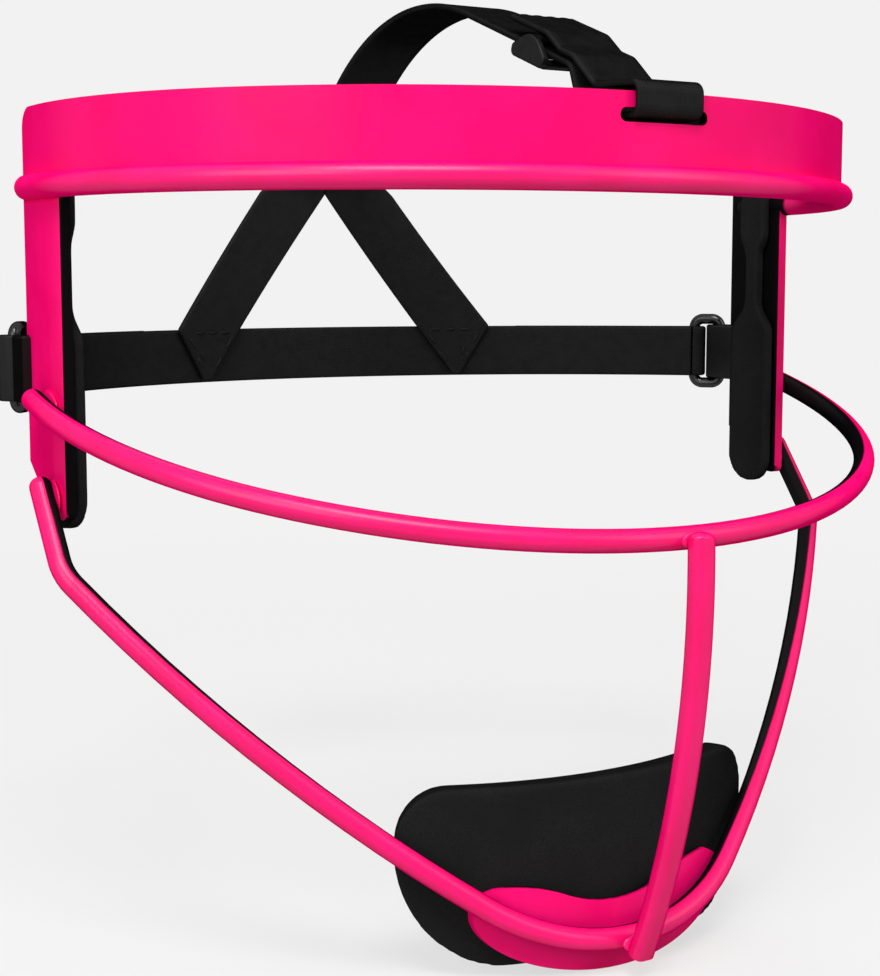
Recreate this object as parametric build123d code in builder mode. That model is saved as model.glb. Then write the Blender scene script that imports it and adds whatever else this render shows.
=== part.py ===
"""Softball face guard: a welded steel frame with foam pads and a webbing harness.

X points to the wearer's left, Y to the back of the head and Z up. The origin is the middle
of the head between the side plates, at the level of the back strap. Sizes in millimetres.
"""
import os
from math import asin, atan, atan2, cos, degrees, hypot, radians, sin, sqrt, tan

from build123d import *

# Frame: the side plates' outer faces carry every other size across the face
frame_half_width = 84.5
sheet_thickness = 2.0
rod_diameter = 4.1
weld_gap = 0.05
cut_overrun = 5.0

# Brow band, a flat strip bent to an oval bow, and the bead rod along its lower edge
band_reach = 69.0
band_tangent_y = 6.0
band_rear_y = 12.5
band_top_z = 47.5
band_corner_radius = 4.0
bow_shoulder_turn = 45.0
bead_diameter = 4.6
bead_z = 33.1
bead_end_rounding_share = 0.45

# Slot in the band that the top strap loops through
slot_width = 18.3
slot_height = 2.4
slot_z = 43.6

# Side plates
plate_front_y = -4.7
plate_bottom_z = -26.5
plate_foot_length = 4.7
plate_heel_z = -17.0
plate_bottom_radius = 1.5
plate_heel_radius = 3.0
plate_notch_depth = 1.2

# Eye bar, a rod bent in one tilted plane
eye_bar_reach = 76.5
eye_bar_tangent_y = 1.0
eye_bar_end_y = 5.2
eye_bar_middle_z = -6.1
eye_bar_slope = 0.27

# Lower bar, one rod from plate to plate under the chin, bent in a steeper plane
lower_bar_reach = 61.4
lower_bar_end_y = 1.5
lower_bar_corner_y = -9.0
lower_bar_middle_z = -21.2
lower_bar_slope = 1.3
chin_bend_radius = 40.2
corner_bend_radius = 10.0
leg_bend_turn = 17.4
rod_end_rounding_share = 0.45

# Centre bar, a flat-sided rod lapped over the front of both bars
centre_bar_width = 4.6
centre_bar_depth = 3.6
centre_bar_edge_radius = 1.5
centre_bar_bow = 4.5
centre_bar_overlap = 0.25
centre_bar_top_margin = 0.4
centre_bar_bottom_margin = 2.2

# Chin plate, a sheet cup welded behind the lower bar
chin_sheet = 1.6
chin_cup_radius = 66.0
chin_cup_setback = 0.9
chin_plate_half_width = 27.5
chin_plate_rise = 5.7
chin_plate_drop = 12.2
chin_lobe_x = 21.5
chin_lobe_rise = 4.8
chin_dip_rise = 0.3

# Foam pads and the hook-and-loop tapes that hold them
layer_gap = 0.05
tape_thickness = 0.45
tape_inset = 3.0
tape_corner = 2.0
forehead_pad_thickness = 8.0
forehead_pad_bottom_z = 31.2
forehead_pad_top_z = 46.0
forehead_pad_half_width = 72.0
forehead_pad_corner = 6.0
forehead_notch_margin = 2.5
forehead_notch_drop = 1.8
side_pad_thickness = 2.1
side_pad_middle_y = 2.5
side_pad_top_z = 37.5
side_pad_bottom_z = -28.8
side_lobe_half_width = 4.4
side_neck_half_width = 2.2
side_foot_half_width = 6.9
side_lobe_bottom_z = 26.0
side_neck_top_z = 22.5
side_neck_bottom_z = 10.5
side_foot_top_z = 6.0
side_lobe_corner = 4.3
side_foot_corner = 6.5
side_waist_corner = 5.0
chin_pad_radius = 77.0
chin_pad_setback = 5.8
chin_pad_thickness = 5.0
chin_pad_half_width = 39.3
chin_pad_rise = 28.2
chin_pad_drop = 4.8
chin_pad_edge_radius = 1.6
chin_pad_top_corner = 10.0
chin_pad_bottom_corner = 17.0
chin_tape_half_width = 13.0
chin_tape_height = 7.0
chin_tape_thickness = 0.7
chin_tape_rise = 1.2

# Side clips: a jaw on the plate's rear edge and a barrel for the wire ring
clip_height = 12.4
clip_wall = 1.6
clip_fit = 0.1
clip_jaw_reach = 2.4
barrel_radius = 3.2
barrel_outset = 0.4
barrel_gap = 3.4
bore_chamfer = 0.5
clip_edge_radius = 0.5
ring_wire = 2.4
ring_running_fit = 0.08
ring_pitch = 6.1
ring_corner_radius = 2.0
ring_side_play = 0.1

# Webbing harness
webbing_thickness = 1.3
ply_gap = 0.1
fold_fit = 0.15
back_strap_width = 11.6
back_strap_reach = 58.3
strap_end_gap = 0.35
tail_length = 30.0
tail_lean_share = 1.1
tail_settle_radius = 12.0
tail_tape_length = 18.0
tail_tape_thickness = 0.7
leg_width = 13.4
leg_apex_z = 35.9
leg_lean = 37.0
leg_foot_inset = 0.3
leg_seam_gap = 0.1
top_strap_width = 14.0
top_strap_foot_z = 36.0
top_strap_knee_z = 39.1
top_strap_knee_radius = 7.0
top_strap_peak_y = 15.9
top_strap_peak_z = 78.3
top_strap_crown_radius = 55.0
top_strap_fall = 20.5

# Loop of the top strap: down behind the band, out through the slot and back over the edge
loop_turn_y = -50.3
loop_drop_y = -54.0
loop_edge_gap = 0.3
loop_over_z = 48.9
loop_sag_y = -57.5
loop_sag_rise = 0.5
loop_join_gap = 0.3
loop_soft_radius = 3.0
loop_edge_radius = 1.5

# Adjuster slide: two bars under both plies of the strap and one bar between them
slide_y = -40.0
slide_length = 11.0
slide_wall = 1.4
slide_side_fit = 0.4
slide_bar_diameter = 1.8
slide_bar_fit = 0.2
slide_corner = 1.6
slide_rim = 0.6
slide_travel = 8.0
free_end_settle = 5.0
free_end_length = 4.0

rod_radius = rod_diameter / 2
wire_radius = ring_wire / 2
rod_x = frame_half_width + rod_radius + weld_gap
half_ply = webbing_thickness / 2


def bow_radii(half_width, depth, turn):
    """Front and side radius of a bow that turns from square across to straight back."""
    across = cos(radians(turn)) * half_width - (1 - sin(radians(turn))) * depth
    along = sin(radians(turn)) * depth - (1 - cos(radians(turn))) * half_width
    share = sin(radians(turn)) + cos(radians(turn)) - 1
    return across / share, along / share


def bow_arcs(front, radii, turns):
    """Centre, radius, first and last turn of each arc on one side of a bow, front first."""
    x = 0.0
    y = radii[0] - front
    arcs = []
    first = 0.0
    for place, (radius, last) in enumerate(zip(radii, turns)):
        if place > 0:
            step = radius - radii[place - 1]
            x -= step * sin(radians(first))
            y += step * cos(radians(first))
        arcs.append((x, y, radius, first, last))
        first = last
    return arcs


def draw_bow(front, radii, turns, end_y):
    """Draw a bow in the open line builder: arcs on both sides of the middle, then straight legs."""
    arcs = bow_arcs(front, radii, turns)
    x, y, radius, _, last = arcs[0]
    CenterArc((x, y), radius, -90 - last, 2 * last)
    for side in (1, -1):
        for x, y, radius, first, last in arcs[1:]:
            start = first - 90 if side > 0 else 270 - first
            CenterArc((side * x, y), radius, start, side * (last - first))
        x, y, radius, _, _ = arcs[-1]
        Line((side * (x + radius), y), (side * (x + radius), end_y))


def draw_bow_strip(outset, thickness, front, radii, turns, end_y):
    """Draw the closed outline of a strip that follows a bow, outset from the bow's own line."""
    for shift in (outset, outset - thickness):
        draw_bow(front + shift, [radius + shift for radius in radii], turns, end_y)
    x, _, radius, _, _ = bow_arcs(front, radii, turns)[-1]
    for side in (1, -1):
        outer_x = side * (x + radius + outset)
        Line((outer_x, end_y), (outer_x - side * thickness, end_y))


def round_rod_ends(rod, radius):
    """Round the two rear ends of a rod bow."""
    ends = rod.faces().filter_by(GeomType.PLANE)
    fillet(ends.edges(), radius)


# Plan of the brow band's outer face, which the side plates, pads and tapes follow
band_radii = bow_radii(frame_half_width, band_reach + band_tangent_y, bow_shoulder_turn)
band_turns = (bow_shoulder_turn, 90.0)
bead_radius = bead_diameter / 2
bead_bottom_z = bead_z - bead_radius

# Bead rod, whose centre line lies under the outer face of the sheet
with BuildPart() as brow_bead:
    with BuildLine(Plane.XY.offset(bead_z)) as bead_path:
        draw_bow(band_reach, band_radii, band_turns, band_rear_y)
    with BuildSketch(Plane((frame_half_width, band_rear_y, bead_z), z_dir=(0, -1, 0))):
        Circle(bead_radius)
    sweep(path=bead_path.wire())
    round_rod_ends(brow_bead, bead_diameter * bead_end_rounding_share)

# Brow band: the strip stands on the bead and has the strap slot in the middle of its front
with BuildPart() as brow_band:
    with BuildSketch(Plane.XY.offset(bead_z)):
        with BuildLine():
            draw_bow_strip(0, sheet_thickness, band_reach, band_radii, band_turns, band_rear_y)
        make_face()
    extrude(amount=band_top_z - bead_z)
    rear_corners = brow_band.edges().filter_by(Axis.X).group_by(Axis.Z)[-1]
    fillet(rear_corners, band_corner_radius)
    with BuildSketch(Plane.XZ.offset(band_reach - sheet_thickness - cut_overrun)):
        with Locations((0, slot_z)):
            SlotOverall(slot_width, slot_height)
    extrude(amount=sheet_thickness + 2 * cut_overrun, mode=Mode.SUBTRACT)
    add(brow_bead.part, mode=Mode.SUBTRACT)


# Side plate: a slice of the same bent sheet under the bead, notched for the clip
with BuildPart() as side_plate_left:
    with BuildSketch(Plane.XY.offset(plate_bottom_z - cut_overrun)):
        with BuildLine():
            draw_bow_strip(0, sheet_thickness, band_reach, band_radii, band_turns, band_rear_y)
        make_face()
    extrude(amount=bead_z - plate_bottom_z + cut_overrun)
    with BuildSketch(Plane.YZ) as plate_outline:
        with BuildLine():
            Polyline(
                (plate_front_y, bead_z),
                (plate_front_y, plate_bottom_z),
                (plate_front_y + plate_foot_length, plate_bottom_z),
                (band_rear_y, plate_heel_z),
                (band_rear_y, bead_z),
                close=True,
            )
        make_face()
        fillet(plate_outline.vertices().group_by(Axis.Y)[0], plate_bottom_radius)
        heel = plate_outline.vertices().filter_by_position(Axis.Z, plate_heel_z, plate_heel_z)
        fillet(heel, plate_heel_radius)
        with Locations((band_rear_y, 0)):
            Rectangle(2 * plate_notch_depth, clip_height + 2 * clip_fit, mode=Mode.SUBTRACT)
    extrude(amount=frame_half_width + cut_overrun, mode=Mode.INTERSECT)
    add(brow_bead.part, mode=Mode.SUBTRACT)

with BuildPart() as side_plate_right:
    mirror(side_plate_left.part, about=Plane.YZ)


def tilted_plane(middle_z, slope):
    """Plane across the face that rises by the slope for each millimetre towards the back."""
    return Plane((0, 0, middle_z), x_dir=(1, 0, 0), z_dir=(0, -slope, 1))


def bent_rod(middle_z, slope, front, radii, turns, end_y):
    """Round rod bent to a bow in one tilted plane, its lengths along Y given in that plane."""
    plane = tilted_plane(middle_z, slope)
    with BuildPart() as rod:
        with BuildLine(plane) as path:
            draw_bow(front, radii, turns, end_y)
        with BuildSketch(Plane(plane.from_local_coords((rod_x, end_y, 0)), z_dir=-plane.y_dir)):
            Circle(rod_radius)
        sweep(path=path.wire())
        round_rod_ends(rod, rod_diameter * rod_end_rounding_share)
    return rod


# Eye bar
eye_stretch = hypot(1, eye_bar_slope)
eye_radii = bow_radii(rod_x, (eye_bar_reach + eye_bar_tangent_y) * eye_stretch, bow_shoulder_turn)
eye_bar = bent_rod(
    eye_bar_middle_z,
    eye_bar_slope,
    eye_bar_reach * eye_stretch,
    eye_radii,
    band_turns,
    eye_bar_end_y * eye_stretch,
)
eye_bar_front_z = eye_bar_middle_z - eye_bar_slope * eye_bar_reach

# Lower bar: chin bend, long gentle leg, corner bend and a straight end on the plate. The chin
# bend's turn follows from where the corner bend ends and from how much the leg itself bends.
lower_stretch = hypot(1, lower_bar_slope)
leg_reach_x = rod_x - corner_bend_radius
leg_reach_y = (lower_bar_reach + lower_bar_corner_y) * lower_stretch - chin_bend_radius
bend_change = (chin_bend_radius - corner_bend_radius) * cos(radians(leg_bend_turn / 2))
leg_heading = atan2(leg_reach_y, leg_reach_x) + asin(bend_change / hypot(leg_reach_x, leg_reach_y))
chin_bend_turn = degrees(leg_heading) - leg_bend_turn / 2
leg_turn = degrees(leg_heading) + leg_bend_turn / 2
chin_sine = sin(radians(chin_bend_turn))
leg_sine = sin(radians(leg_turn))
leg_span = rod_x - chin_bend_radius * chin_sine - corner_bend_radius * (1 - leg_sine)
leg_radius = leg_span / (leg_sine - chin_sine)
lower_bar = bent_rod(
    lower_bar_middle_z,
    lower_bar_slope,
    lower_bar_reach * lower_stretch,
    (chin_bend_radius, leg_radius, corner_bend_radius),
    (chin_bend_turn, leg_turn, 90.0),
    lower_bar_end_y * lower_stretch,
)
lower_bar_front_z = lower_bar_middle_z - lower_bar_slope * lower_bar_reach

# Chin plate: a wavy cup outline cut from an upright sheet bent to the chin's curve
chin_plate_front_y = -lower_bar_reach + rod_radius + chin_cup_setback
chin_plate_middle_z = lower_bar_front_z + chin_plate_rise
chin_pad_front_y = -lower_bar_reach + chin_pad_setback
chin_pad_top_z = lower_bar_front_z + chin_pad_rise
chin_pad_bottom_z = lower_bar_front_z - chin_pad_drop
chin_tape_z = lower_bar_front_z + chin_tape_rise


def chin_wall(front_y, outer_radius, thickness, bottom_z, top_z):
    """Upright round wall that bulges forward to the given Y."""
    with BuildPart() as wall:
        with BuildSketch(Plane.XY.offset(bottom_z)):
            with Locations((0, front_y + outer_radius)):
                Circle(outer_radius)
                Circle(outer_radius - thickness, mode=Mode.SUBTRACT)
        extrude(amount=top_z - bottom_z)
    return wall


with BuildPart() as chin_plate:
    lobe_z = chin_plate_middle_z + chin_lobe_rise
    dip_z = chin_plate_middle_z + chin_dip_rise
    chin_foot_z = chin_plate_middle_z - chin_plate_drop
    add(chin_wall(chin_plate_front_y, chin_cup_radius, chin_sheet, chin_foot_z, lobe_z).part)
    wave_half_drop = (lobe_z - dip_z) / 2
    wave_radius = ((chin_lobe_x / 2) ** 2 + wave_half_drop**2) / (2 * wave_half_drop)
    wave_turn = degrees(asin(chin_lobe_x / 2 / wave_radius))
    lobe_width = chin_plate_half_width - chin_lobe_x
    with BuildSketch(Plane.XZ):
        with BuildLine():
            CenterArc((0, dip_z + wave_radius), wave_radius, -90 - wave_turn, 2 * wave_turn)
            for side in (1, -1):
                lobe_centre = (side * chin_lobe_x, lobe_z - wave_radius)
                CenterArc(lobe_centre, wave_radius, 90, side * wave_turn)
                EllipticalCenterArc(
                    (side * chin_lobe_x, chin_plate_middle_z),
                    lobe_width,
                    chin_lobe_rise,
                    start_angle=0 if side > 0 else 90,
                    arc_size=90,
                )
            EllipticalCenterArc(
                (0, chin_plate_middle_z),
                chin_plate_half_width,
                chin_plate_drop,
                start_angle=180,
                arc_size=180,
            )
        make_face()
    extrude(amount=lower_bar_reach, mode=Mode.INTERSECT)

# Centre bar: its ends are pinched flat and coped to seat on the eye bar and the lower bar
with BuildPart() as centre_bar:
    seat = rod_radius + centre_bar_depth / 2 - centre_bar_overlap
    bar_top = (-eye_bar_reach - seat, eye_bar_front_z + centre_bar_top_margin)
    bar_bottom = (-lower_bar_reach - seat, lower_bar_front_z - centre_bar_bottom_margin)
    with BuildLine(Plane.YZ) as bar_path:
        SagittaArc(bar_top, bar_bottom, -centre_bar_bow)
    bar_start = bar_path.wire() @ 0
    bar_heading = bar_path.wire() % 0
    with BuildSketch(Plane(bar_start, x_dir=(1, 0, 0), z_dir=bar_heading)):
        RectangleRounded(centre_bar_width, centre_bar_depth, centre_bar_edge_radius)
    sweep(path=bar_path.wire())
    add(eye_bar.part, mode=Mode.SUBTRACT)
    add(lower_bar.part, mode=Mode.SUBTRACT)


def bow_wall(outset, thickness, bottom_z, top_z):
    """Upright wall that follows the brow band's outer face, outset from it."""
    with BuildPart() as wall:
        with BuildSketch(Plane.XY.offset(bottom_z)):
            with BuildLine():
                draw_bow_strip(outset, thickness, band_reach, band_radii, band_turns, band_rear_y)
            make_face()
        extrude(amount=top_z - bottom_z)
    return wall


def inner_rim(pad):
    """Edges round the face of a pad that lies against the head."""
    towards_head = [
        face
        for face in pad.faces()
        if face.normal_at().dot(Vector(-face.center().X, -face.center().Y, 0).normalized()) > 0.6
    ]
    edges = [edge for face in towards_head for edge in face.edges()]
    return [edge for edge in edges if sum(edge.is_same(other) for other in edges) == 1]


# Stack of layers inside the sheet: tape, then pad
tape_outset = -sheet_thickness - layer_gap
pad_outset = tape_outset - tape_thickness - layer_gap

# Forehead pad, with a notch under the strap slot, and its tape
forehead_height = forehead_pad_top_z - forehead_pad_bottom_z
forehead_middle_z = (forehead_pad_top_z + forehead_pad_bottom_z) / 2
with BuildPart() as forehead_pad:
    add(bow_wall(pad_outset, forehead_pad_thickness, forehead_pad_bottom_z, forehead_pad_top_z).part)
    with BuildSketch(Plane.XZ):
        with Locations((0, forehead_middle_z)):
            RectangleRounded(2 * forehead_pad_half_width, forehead_height, forehead_pad_corner)
    extrude(amount=band_reach, mode=Mode.INTERSECT)
    notch_floor_z = slot_z - slot_height / 2 - forehead_notch_drop
    with BuildSketch(Plane.XZ):
        with Locations((0, notch_floor_z)):
            Rectangle(
                slot_width + 2 * forehead_notch_margin,
                forehead_height,
                align=(Align.CENTER, Align.MIN),
            )
    extrude(amount=band_reach, mode=Mode.SUBTRACT)

with BuildPart() as forehead_tape:
    tape_foot_z = bead_z + bead_radius
    add(bow_wall(tape_outset, tape_thickness, tape_foot_z, notch_floor_z).part)
    tape_height = notch_floor_z - tape_foot_z
    with BuildSketch(Plane.XZ):
        with Locations((0, tape_foot_z + tape_height / 2)):
            RectangleRounded(
                2 * (forehead_pad_half_width - tape_inset), tape_height, tape_corner
            )
    extrude(amount=band_reach, mode=Mode.INTERSECT)

# Side pad, an hourglass that is widest beside the cheek, and its tape
with BuildPart() as side_pad_left:
    add(bow_wall(pad_outset, side_pad_thickness, side_pad_bottom_z, side_pad_top_z).part)
    with BuildSketch(Plane.YZ) as side_outline:
        with BuildLine():
            half_outline = [
                (side_lobe_half_width, side_pad_top_z),
                (side_lobe_half_width, side_lobe_bottom_z),
                (side_neck_half_width, side_neck_top_z),
                (side_neck_half_width, side_neck_bottom_z),
                (side_foot_half_width, side_foot_top_z),
                (side_foot_half_width, side_pad_bottom_z),
            ]
            rear = [(side_pad_middle_y + y, z) for y, z in half_outline]
            front = [(side_pad_middle_y - y, z) for y, z in reversed(half_outline)]
            Polyline(*rear, *front, close=True)
        make_face()
        corner_rows = side_outline.vertices().group_by(Axis.Y)
        waist = corner_rows[1] + corner_rows[2] + corner_rows[3] + corner_rows[4]
        fillet(waist, side_waist_corner)
        fillet(side_outline.vertices().group_by(Axis.Y)[0], side_foot_corner)
        fillet(side_outline.vertices().group_by(Axis.Y)[-1], side_lobe_corner)
    extrude(amount=frame_half_width, mode=Mode.INTERSECT)

with BuildPart() as side_pad_right:
    mirror(side_pad_left.part, about=Plane.YZ)

with BuildPart() as side_tape_left:
    add(bow_wall(tape_outset, tape_thickness, side_pad_bottom_z, side_pad_top_z).part)
    tape_bottom_z = plate_bottom_z + tape_inset
    tape_top_z = bead_bottom_z - tape_inset
    with BuildSketch(Plane.YZ):
        with Locations((side_pad_middle_y, (tape_top_z + tape_bottom_z) / 2)):
            RectangleRounded(
                2 * side_neck_half_width - tape_inset / 2,
                tape_top_z - tape_bottom_z,
                tape_corner / 2,
            )
    extrude(amount=frame_half_width, mode=Mode.INTERSECT)

with BuildPart() as side_tape_right:
    mirror(side_tape_left.part, about=Plane.YZ)

# Chin pad, a deep cup behind the chin plate, and its tape
with BuildPart() as chin_pad:
    pad_sizes = (chin_pad_radius, chin_pad_thickness, chin_pad_bottom_z, chin_pad_top_z)
    add(chin_wall(chin_pad_front_y, *pad_sizes).part)
    with BuildSketch(Plane.XZ) as chin_outline:
        with Locations((0, chin_pad_bottom_z)):
            Rectangle(
                2 * chin_pad_half_width,
                chin_pad_top_z - chin_pad_bottom_z,
                align=(Align.CENTER, Align.MIN),
            )
        fillet(chin_outline.vertices().group_by(Axis.Y)[0], chin_pad_bottom_corner)
        fillet(chin_outline.vertices().group_by(Axis.Y)[-1], chin_pad_top_corner)
    extrude(amount=lower_bar_reach, mode=Mode.INTERSECT)
    fillet(inner_rim(chin_pad), chin_pad_edge_radius)

with BuildPart() as chin_tape:
    tape_front_y = chin_pad_front_y - layer_gap - chin_tape_thickness
    tape_sizes = (chin_pad_radius + chin_tape_thickness, chin_tape_thickness)
    add(chin_wall(tape_front_y, *tape_sizes, chin_pad_bottom_z, chin_pad_top_z).part)
    with BuildSketch(Plane.XZ):
        with Locations((0, chin_tape_z)):
            RectangleRounded(2 * chin_tape_half_width, chin_tape_height, tape_corner)
    extrude(amount=lower_bar_reach, mode=Mode.INTERSECT)

# Side clip: jaws on both faces of the plate's rear edge and a barrel behind it
barrel_x = frame_half_width + barrel_outset
barrel_y = band_rear_y + barrel_gap + barrel_radius
bore_radius = wire_radius + ring_running_fit
plate_middle_x = frame_half_width - sheet_thickness / 2
with BuildPart() as side_clip_left:
    with BuildSketch(Plane.XY.offset(-clip_height / 2)):
        jaw_tip_y = band_rear_y - clip_jaw_reach
        with Locations((plate_middle_x, jaw_tip_y)):
            Rectangle(
                sheet_thickness + 2 * (clip_fit + clip_wall),
                barrel_y - jaw_tip_y,
                align=(Align.CENTER, Align.MIN),
            )
        with Locations((barrel_x, barrel_y)):
            Circle(barrel_radius)
        with Locations((plate_middle_x, band_rear_y - plate_notch_depth + clip_fit)):
            Rectangle(
                sheet_thickness + 2 * clip_fit,
                clip_jaw_reach + cut_overrun,
                align=(Align.CENTER, Align.MAX),
                mode=Mode.SUBTRACT,
            )
    extrude(amount=clip_height)
    fillet(side_clip_left.faces().filter_by(Axis.Z).edges(), clip_edge_radius)
    with Locations((barrel_x, barrel_y, 0)):
        Cylinder(bore_radius, clip_height + cut_overrun, mode=Mode.SUBTRACT)
    bore_ends = side_clip_left.edges().filter_by(GeomType.CIRCLE).filter_by(
        lambda edge: edge.radius == bore_radius
    )
    chamfer(bore_ends, bore_chamfer)

with BuildPart() as side_clip_right:
    mirror(side_clip_left.part, about=Plane.YZ)

# Back strap: an arc whose line leaves both rings square to their pull
fold_offset = wire_radius + fold_fit + half_ply
fold_reach = back_strap_reach + fold_offset
barrel_distance_squared = barrel_x**2 + barrel_y**2
strap_axis_y = (fold_reach**2 + ring_pitch**2 - barrel_distance_squared) / (
    2 * (fold_reach - barrel_y)
)
strap_radius = back_strap_reach - strap_axis_y
ring_angle = atan2(barrel_x, barrel_y - strap_axis_y) - atan(
    ring_pitch / (strap_radius + fold_offset)
)
ring_outward = Vector(sin(ring_angle), cos(ring_angle), 0)
ring_rearward = Vector(-cos(ring_angle), sin(ring_angle), 0)
barrel_axis = Vector(barrel_x, barrel_y, 0)
ring_leg = barrel_axis + ring_rearward * ring_pitch

# Wire ring: a closed rectangle of round wire with one leg in the barrel
with BuildPart() as ring_left:
    ring_half_height = clip_height / 2 + ring_side_play + wire_radius
    ring_plane = Plane(barrel_axis, x_dir=ring_rearward, z_dir=ring_outward)
    with BuildLine(ring_plane) as ring_path:
        FilletPolyline(
            (0, -ring_half_height),
            (ring_pitch, -ring_half_height),
            (ring_pitch, ring_half_height),
            (0, ring_half_height),
            radius=ring_corner_radius,
            close=True,
        )
    ring_wire_path = ring_path.wire()
    with BuildSketch(Plane(ring_wire_path @ 0, z_dir=ring_wire_path % 0)):
        Circle(wire_radius)
    sweep(path=ring_wire_path)

with BuildPart() as ring_right:
    mirror(ring_left.part, about=Plane.YZ)


def webbing(path, width, flat_across, thickness):
    """Flat webbing that follows a path, its width along the given direction."""
    with BuildPart() as strap:
        with BuildSketch(Plane(path @ 0, x_dir=flat_across, z_dir=path % 0)):
            Rectangle(width, thickness)
        sweep(path=path)
    return strap


upright = (0, 0, 1)
sideways = (1, 0, 0)

back_turn = degrees(ring_angle - strap_end_gap / strap_radius)
with BuildLine() as back_path:
    CenterArc((0, strap_axis_y), strap_radius, 90 - back_turn, 2 * back_turn)
back_strap = webbing(back_path.wire(), back_strap_width, upright, webbing_thickness)

# Strap tail: the end folded round the ring's rear leg and laid back on the strap
tail_radius = strap_radius + webbing_thickness + tail_tape_thickness + 2 * ply_gap
tail_drop = strap_radius + 2 * fold_offset - tail_radius
lean = asin(tail_lean_share * sqrt(2 * tail_drop / strap_radius))
leaving = Vector(fold_offset * sin(lean), strap_radius + fold_offset * (1 + cos(lean)), 0)
settle_from = leaving + Vector(sin(lean), cos(lean), 0) * tail_settle_radius
closing = settle_from.dot(Vector(cos(lean), -sin(lean), 0))
settle_reach = tail_radius + tail_settle_radius
run_length = -closing - sqrt(closing**2 - settle_from.dot(settle_from) + settle_reach**2)
settle_centre = settle_from + Vector(cos(lean), -sin(lean), 0) * run_length
settled = atan2(settle_centre.X, settle_centre.Y)
with BuildLine() as tail_path:
    fold = JernArc(
        ring_leg - ring_outward * fold_offset, -ring_rearward, fold_offset, 180 + degrees(lean)
    )
    run = Line(fold @ 1, (fold @ 1) + (fold % 1) * run_length)
    settle = JernArc(run @ 1, run % 1, tail_settle_radius, degrees(settled - lean))
    JernArc(settle @ 1, settle % 1, tail_radius, degrees(tail_length / tail_radius))
strap_tail_left = webbing(tail_path.wire(), back_strap_width, upright, webbing_thickness)

with BuildPart() as strap_tail_right:
    mirror(strap_tail_left.part, about=Plane.YZ)

# Hook-and-loop tape between the tail and the strap
tape_radius = strap_radius + half_ply + ply_gap + tail_tape_thickness / 2
tail_end_angle = ring_angle - settled - tail_length / tail_radius
with BuildLine() as tail_tape_path:
    CenterArc(
        (0, strap_axis_y),
        tape_radius,
        90 - degrees(tail_end_angle + tail_tape_length / tape_radius),
        degrees(tail_tape_length / tape_radius),
    )
tail_tape_left = webbing(
    tail_tape_path.wire(), back_strap_width - tape_inset / 2, upright, tail_tape_thickness
)

with BuildPart() as tail_tape_right:
    mirror(tail_tape_left.part, about=Plane.YZ)

# Top strap: up from the back, over the crown, through the slide, then the loop in the band
rise = atan2(top_strap_peak_z - top_strap_knee_z, back_strap_reach - top_strap_peak_y)
fall = radians(top_strap_fall)


def fall_z(y):
    """Height of the top strap's straight front run."""
    return top_strap_peak_z - (top_strap_peak_y - y) * tan(fall)


def on_slide(along, height):
    """Point in the YZ plane measured from the slide's middle along and square to the strap."""
    y = slide_y + along * cos(fall) - height * sin(fall)
    z = fall_z(slide_y) + along * sin(fall) + height * cos(fall)
    return y, z


bar_radius = slide_bar_diameter / 2
bar_height = half_ply + ply_gap + bar_radius
upper_ply_height = bar_height + bar_radius + ply_gap + half_ply
laid_ply_height = webbing_thickness + loop_join_gap
loop_front_y = -band_reach - loop_edge_gap - half_ply
lift_start = -slide_length / 2 - webbing_thickness
settle_start = slide_travel + bar_radius + ply_gap
free_end_start = settle_start + free_end_settle
with BuildLine(Plane.YZ) as top_path:
    FilletPolyline(
        (back_strap_reach, top_strap_foot_z),
        (back_strap_reach, top_strap_knee_z),
        (top_strap_peak_y, top_strap_peak_z),
        (loop_turn_y, fall_z(loop_turn_y)),
        (loop_drop_y, slot_z),
        (loop_front_y, slot_z),
        (loop_front_y, loop_over_z),
        (loop_sag_y, loop_over_z + loop_sag_rise),
        on_slide((loop_turn_y - slide_y) / cos(fall), laid_ply_height),
        on_slide(lift_start, laid_ply_height),
        on_slide(lift_start + free_end_settle, upper_ply_height),
        on_slide(settle_start, upper_ply_height),
        on_slide(free_end_start, laid_ply_height),
        on_slide(free_end_start + free_end_length, laid_ply_height),
        radius=[
            top_strap_knee_radius,
            top_strap_crown_radius,
            loop_soft_radius,
            loop_soft_radius,
            loop_edge_radius,
            loop_edge_radius,
            loop_soft_radius,
            loop_soft_radius,
            loop_soft_radius,
            loop_soft_radius,
            loop_soft_radius,
            loop_soft_radius,
        ],
    )
top_strap = webbing(top_path.wire(), top_strap_width, sideways, webbing_thickness)

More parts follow.
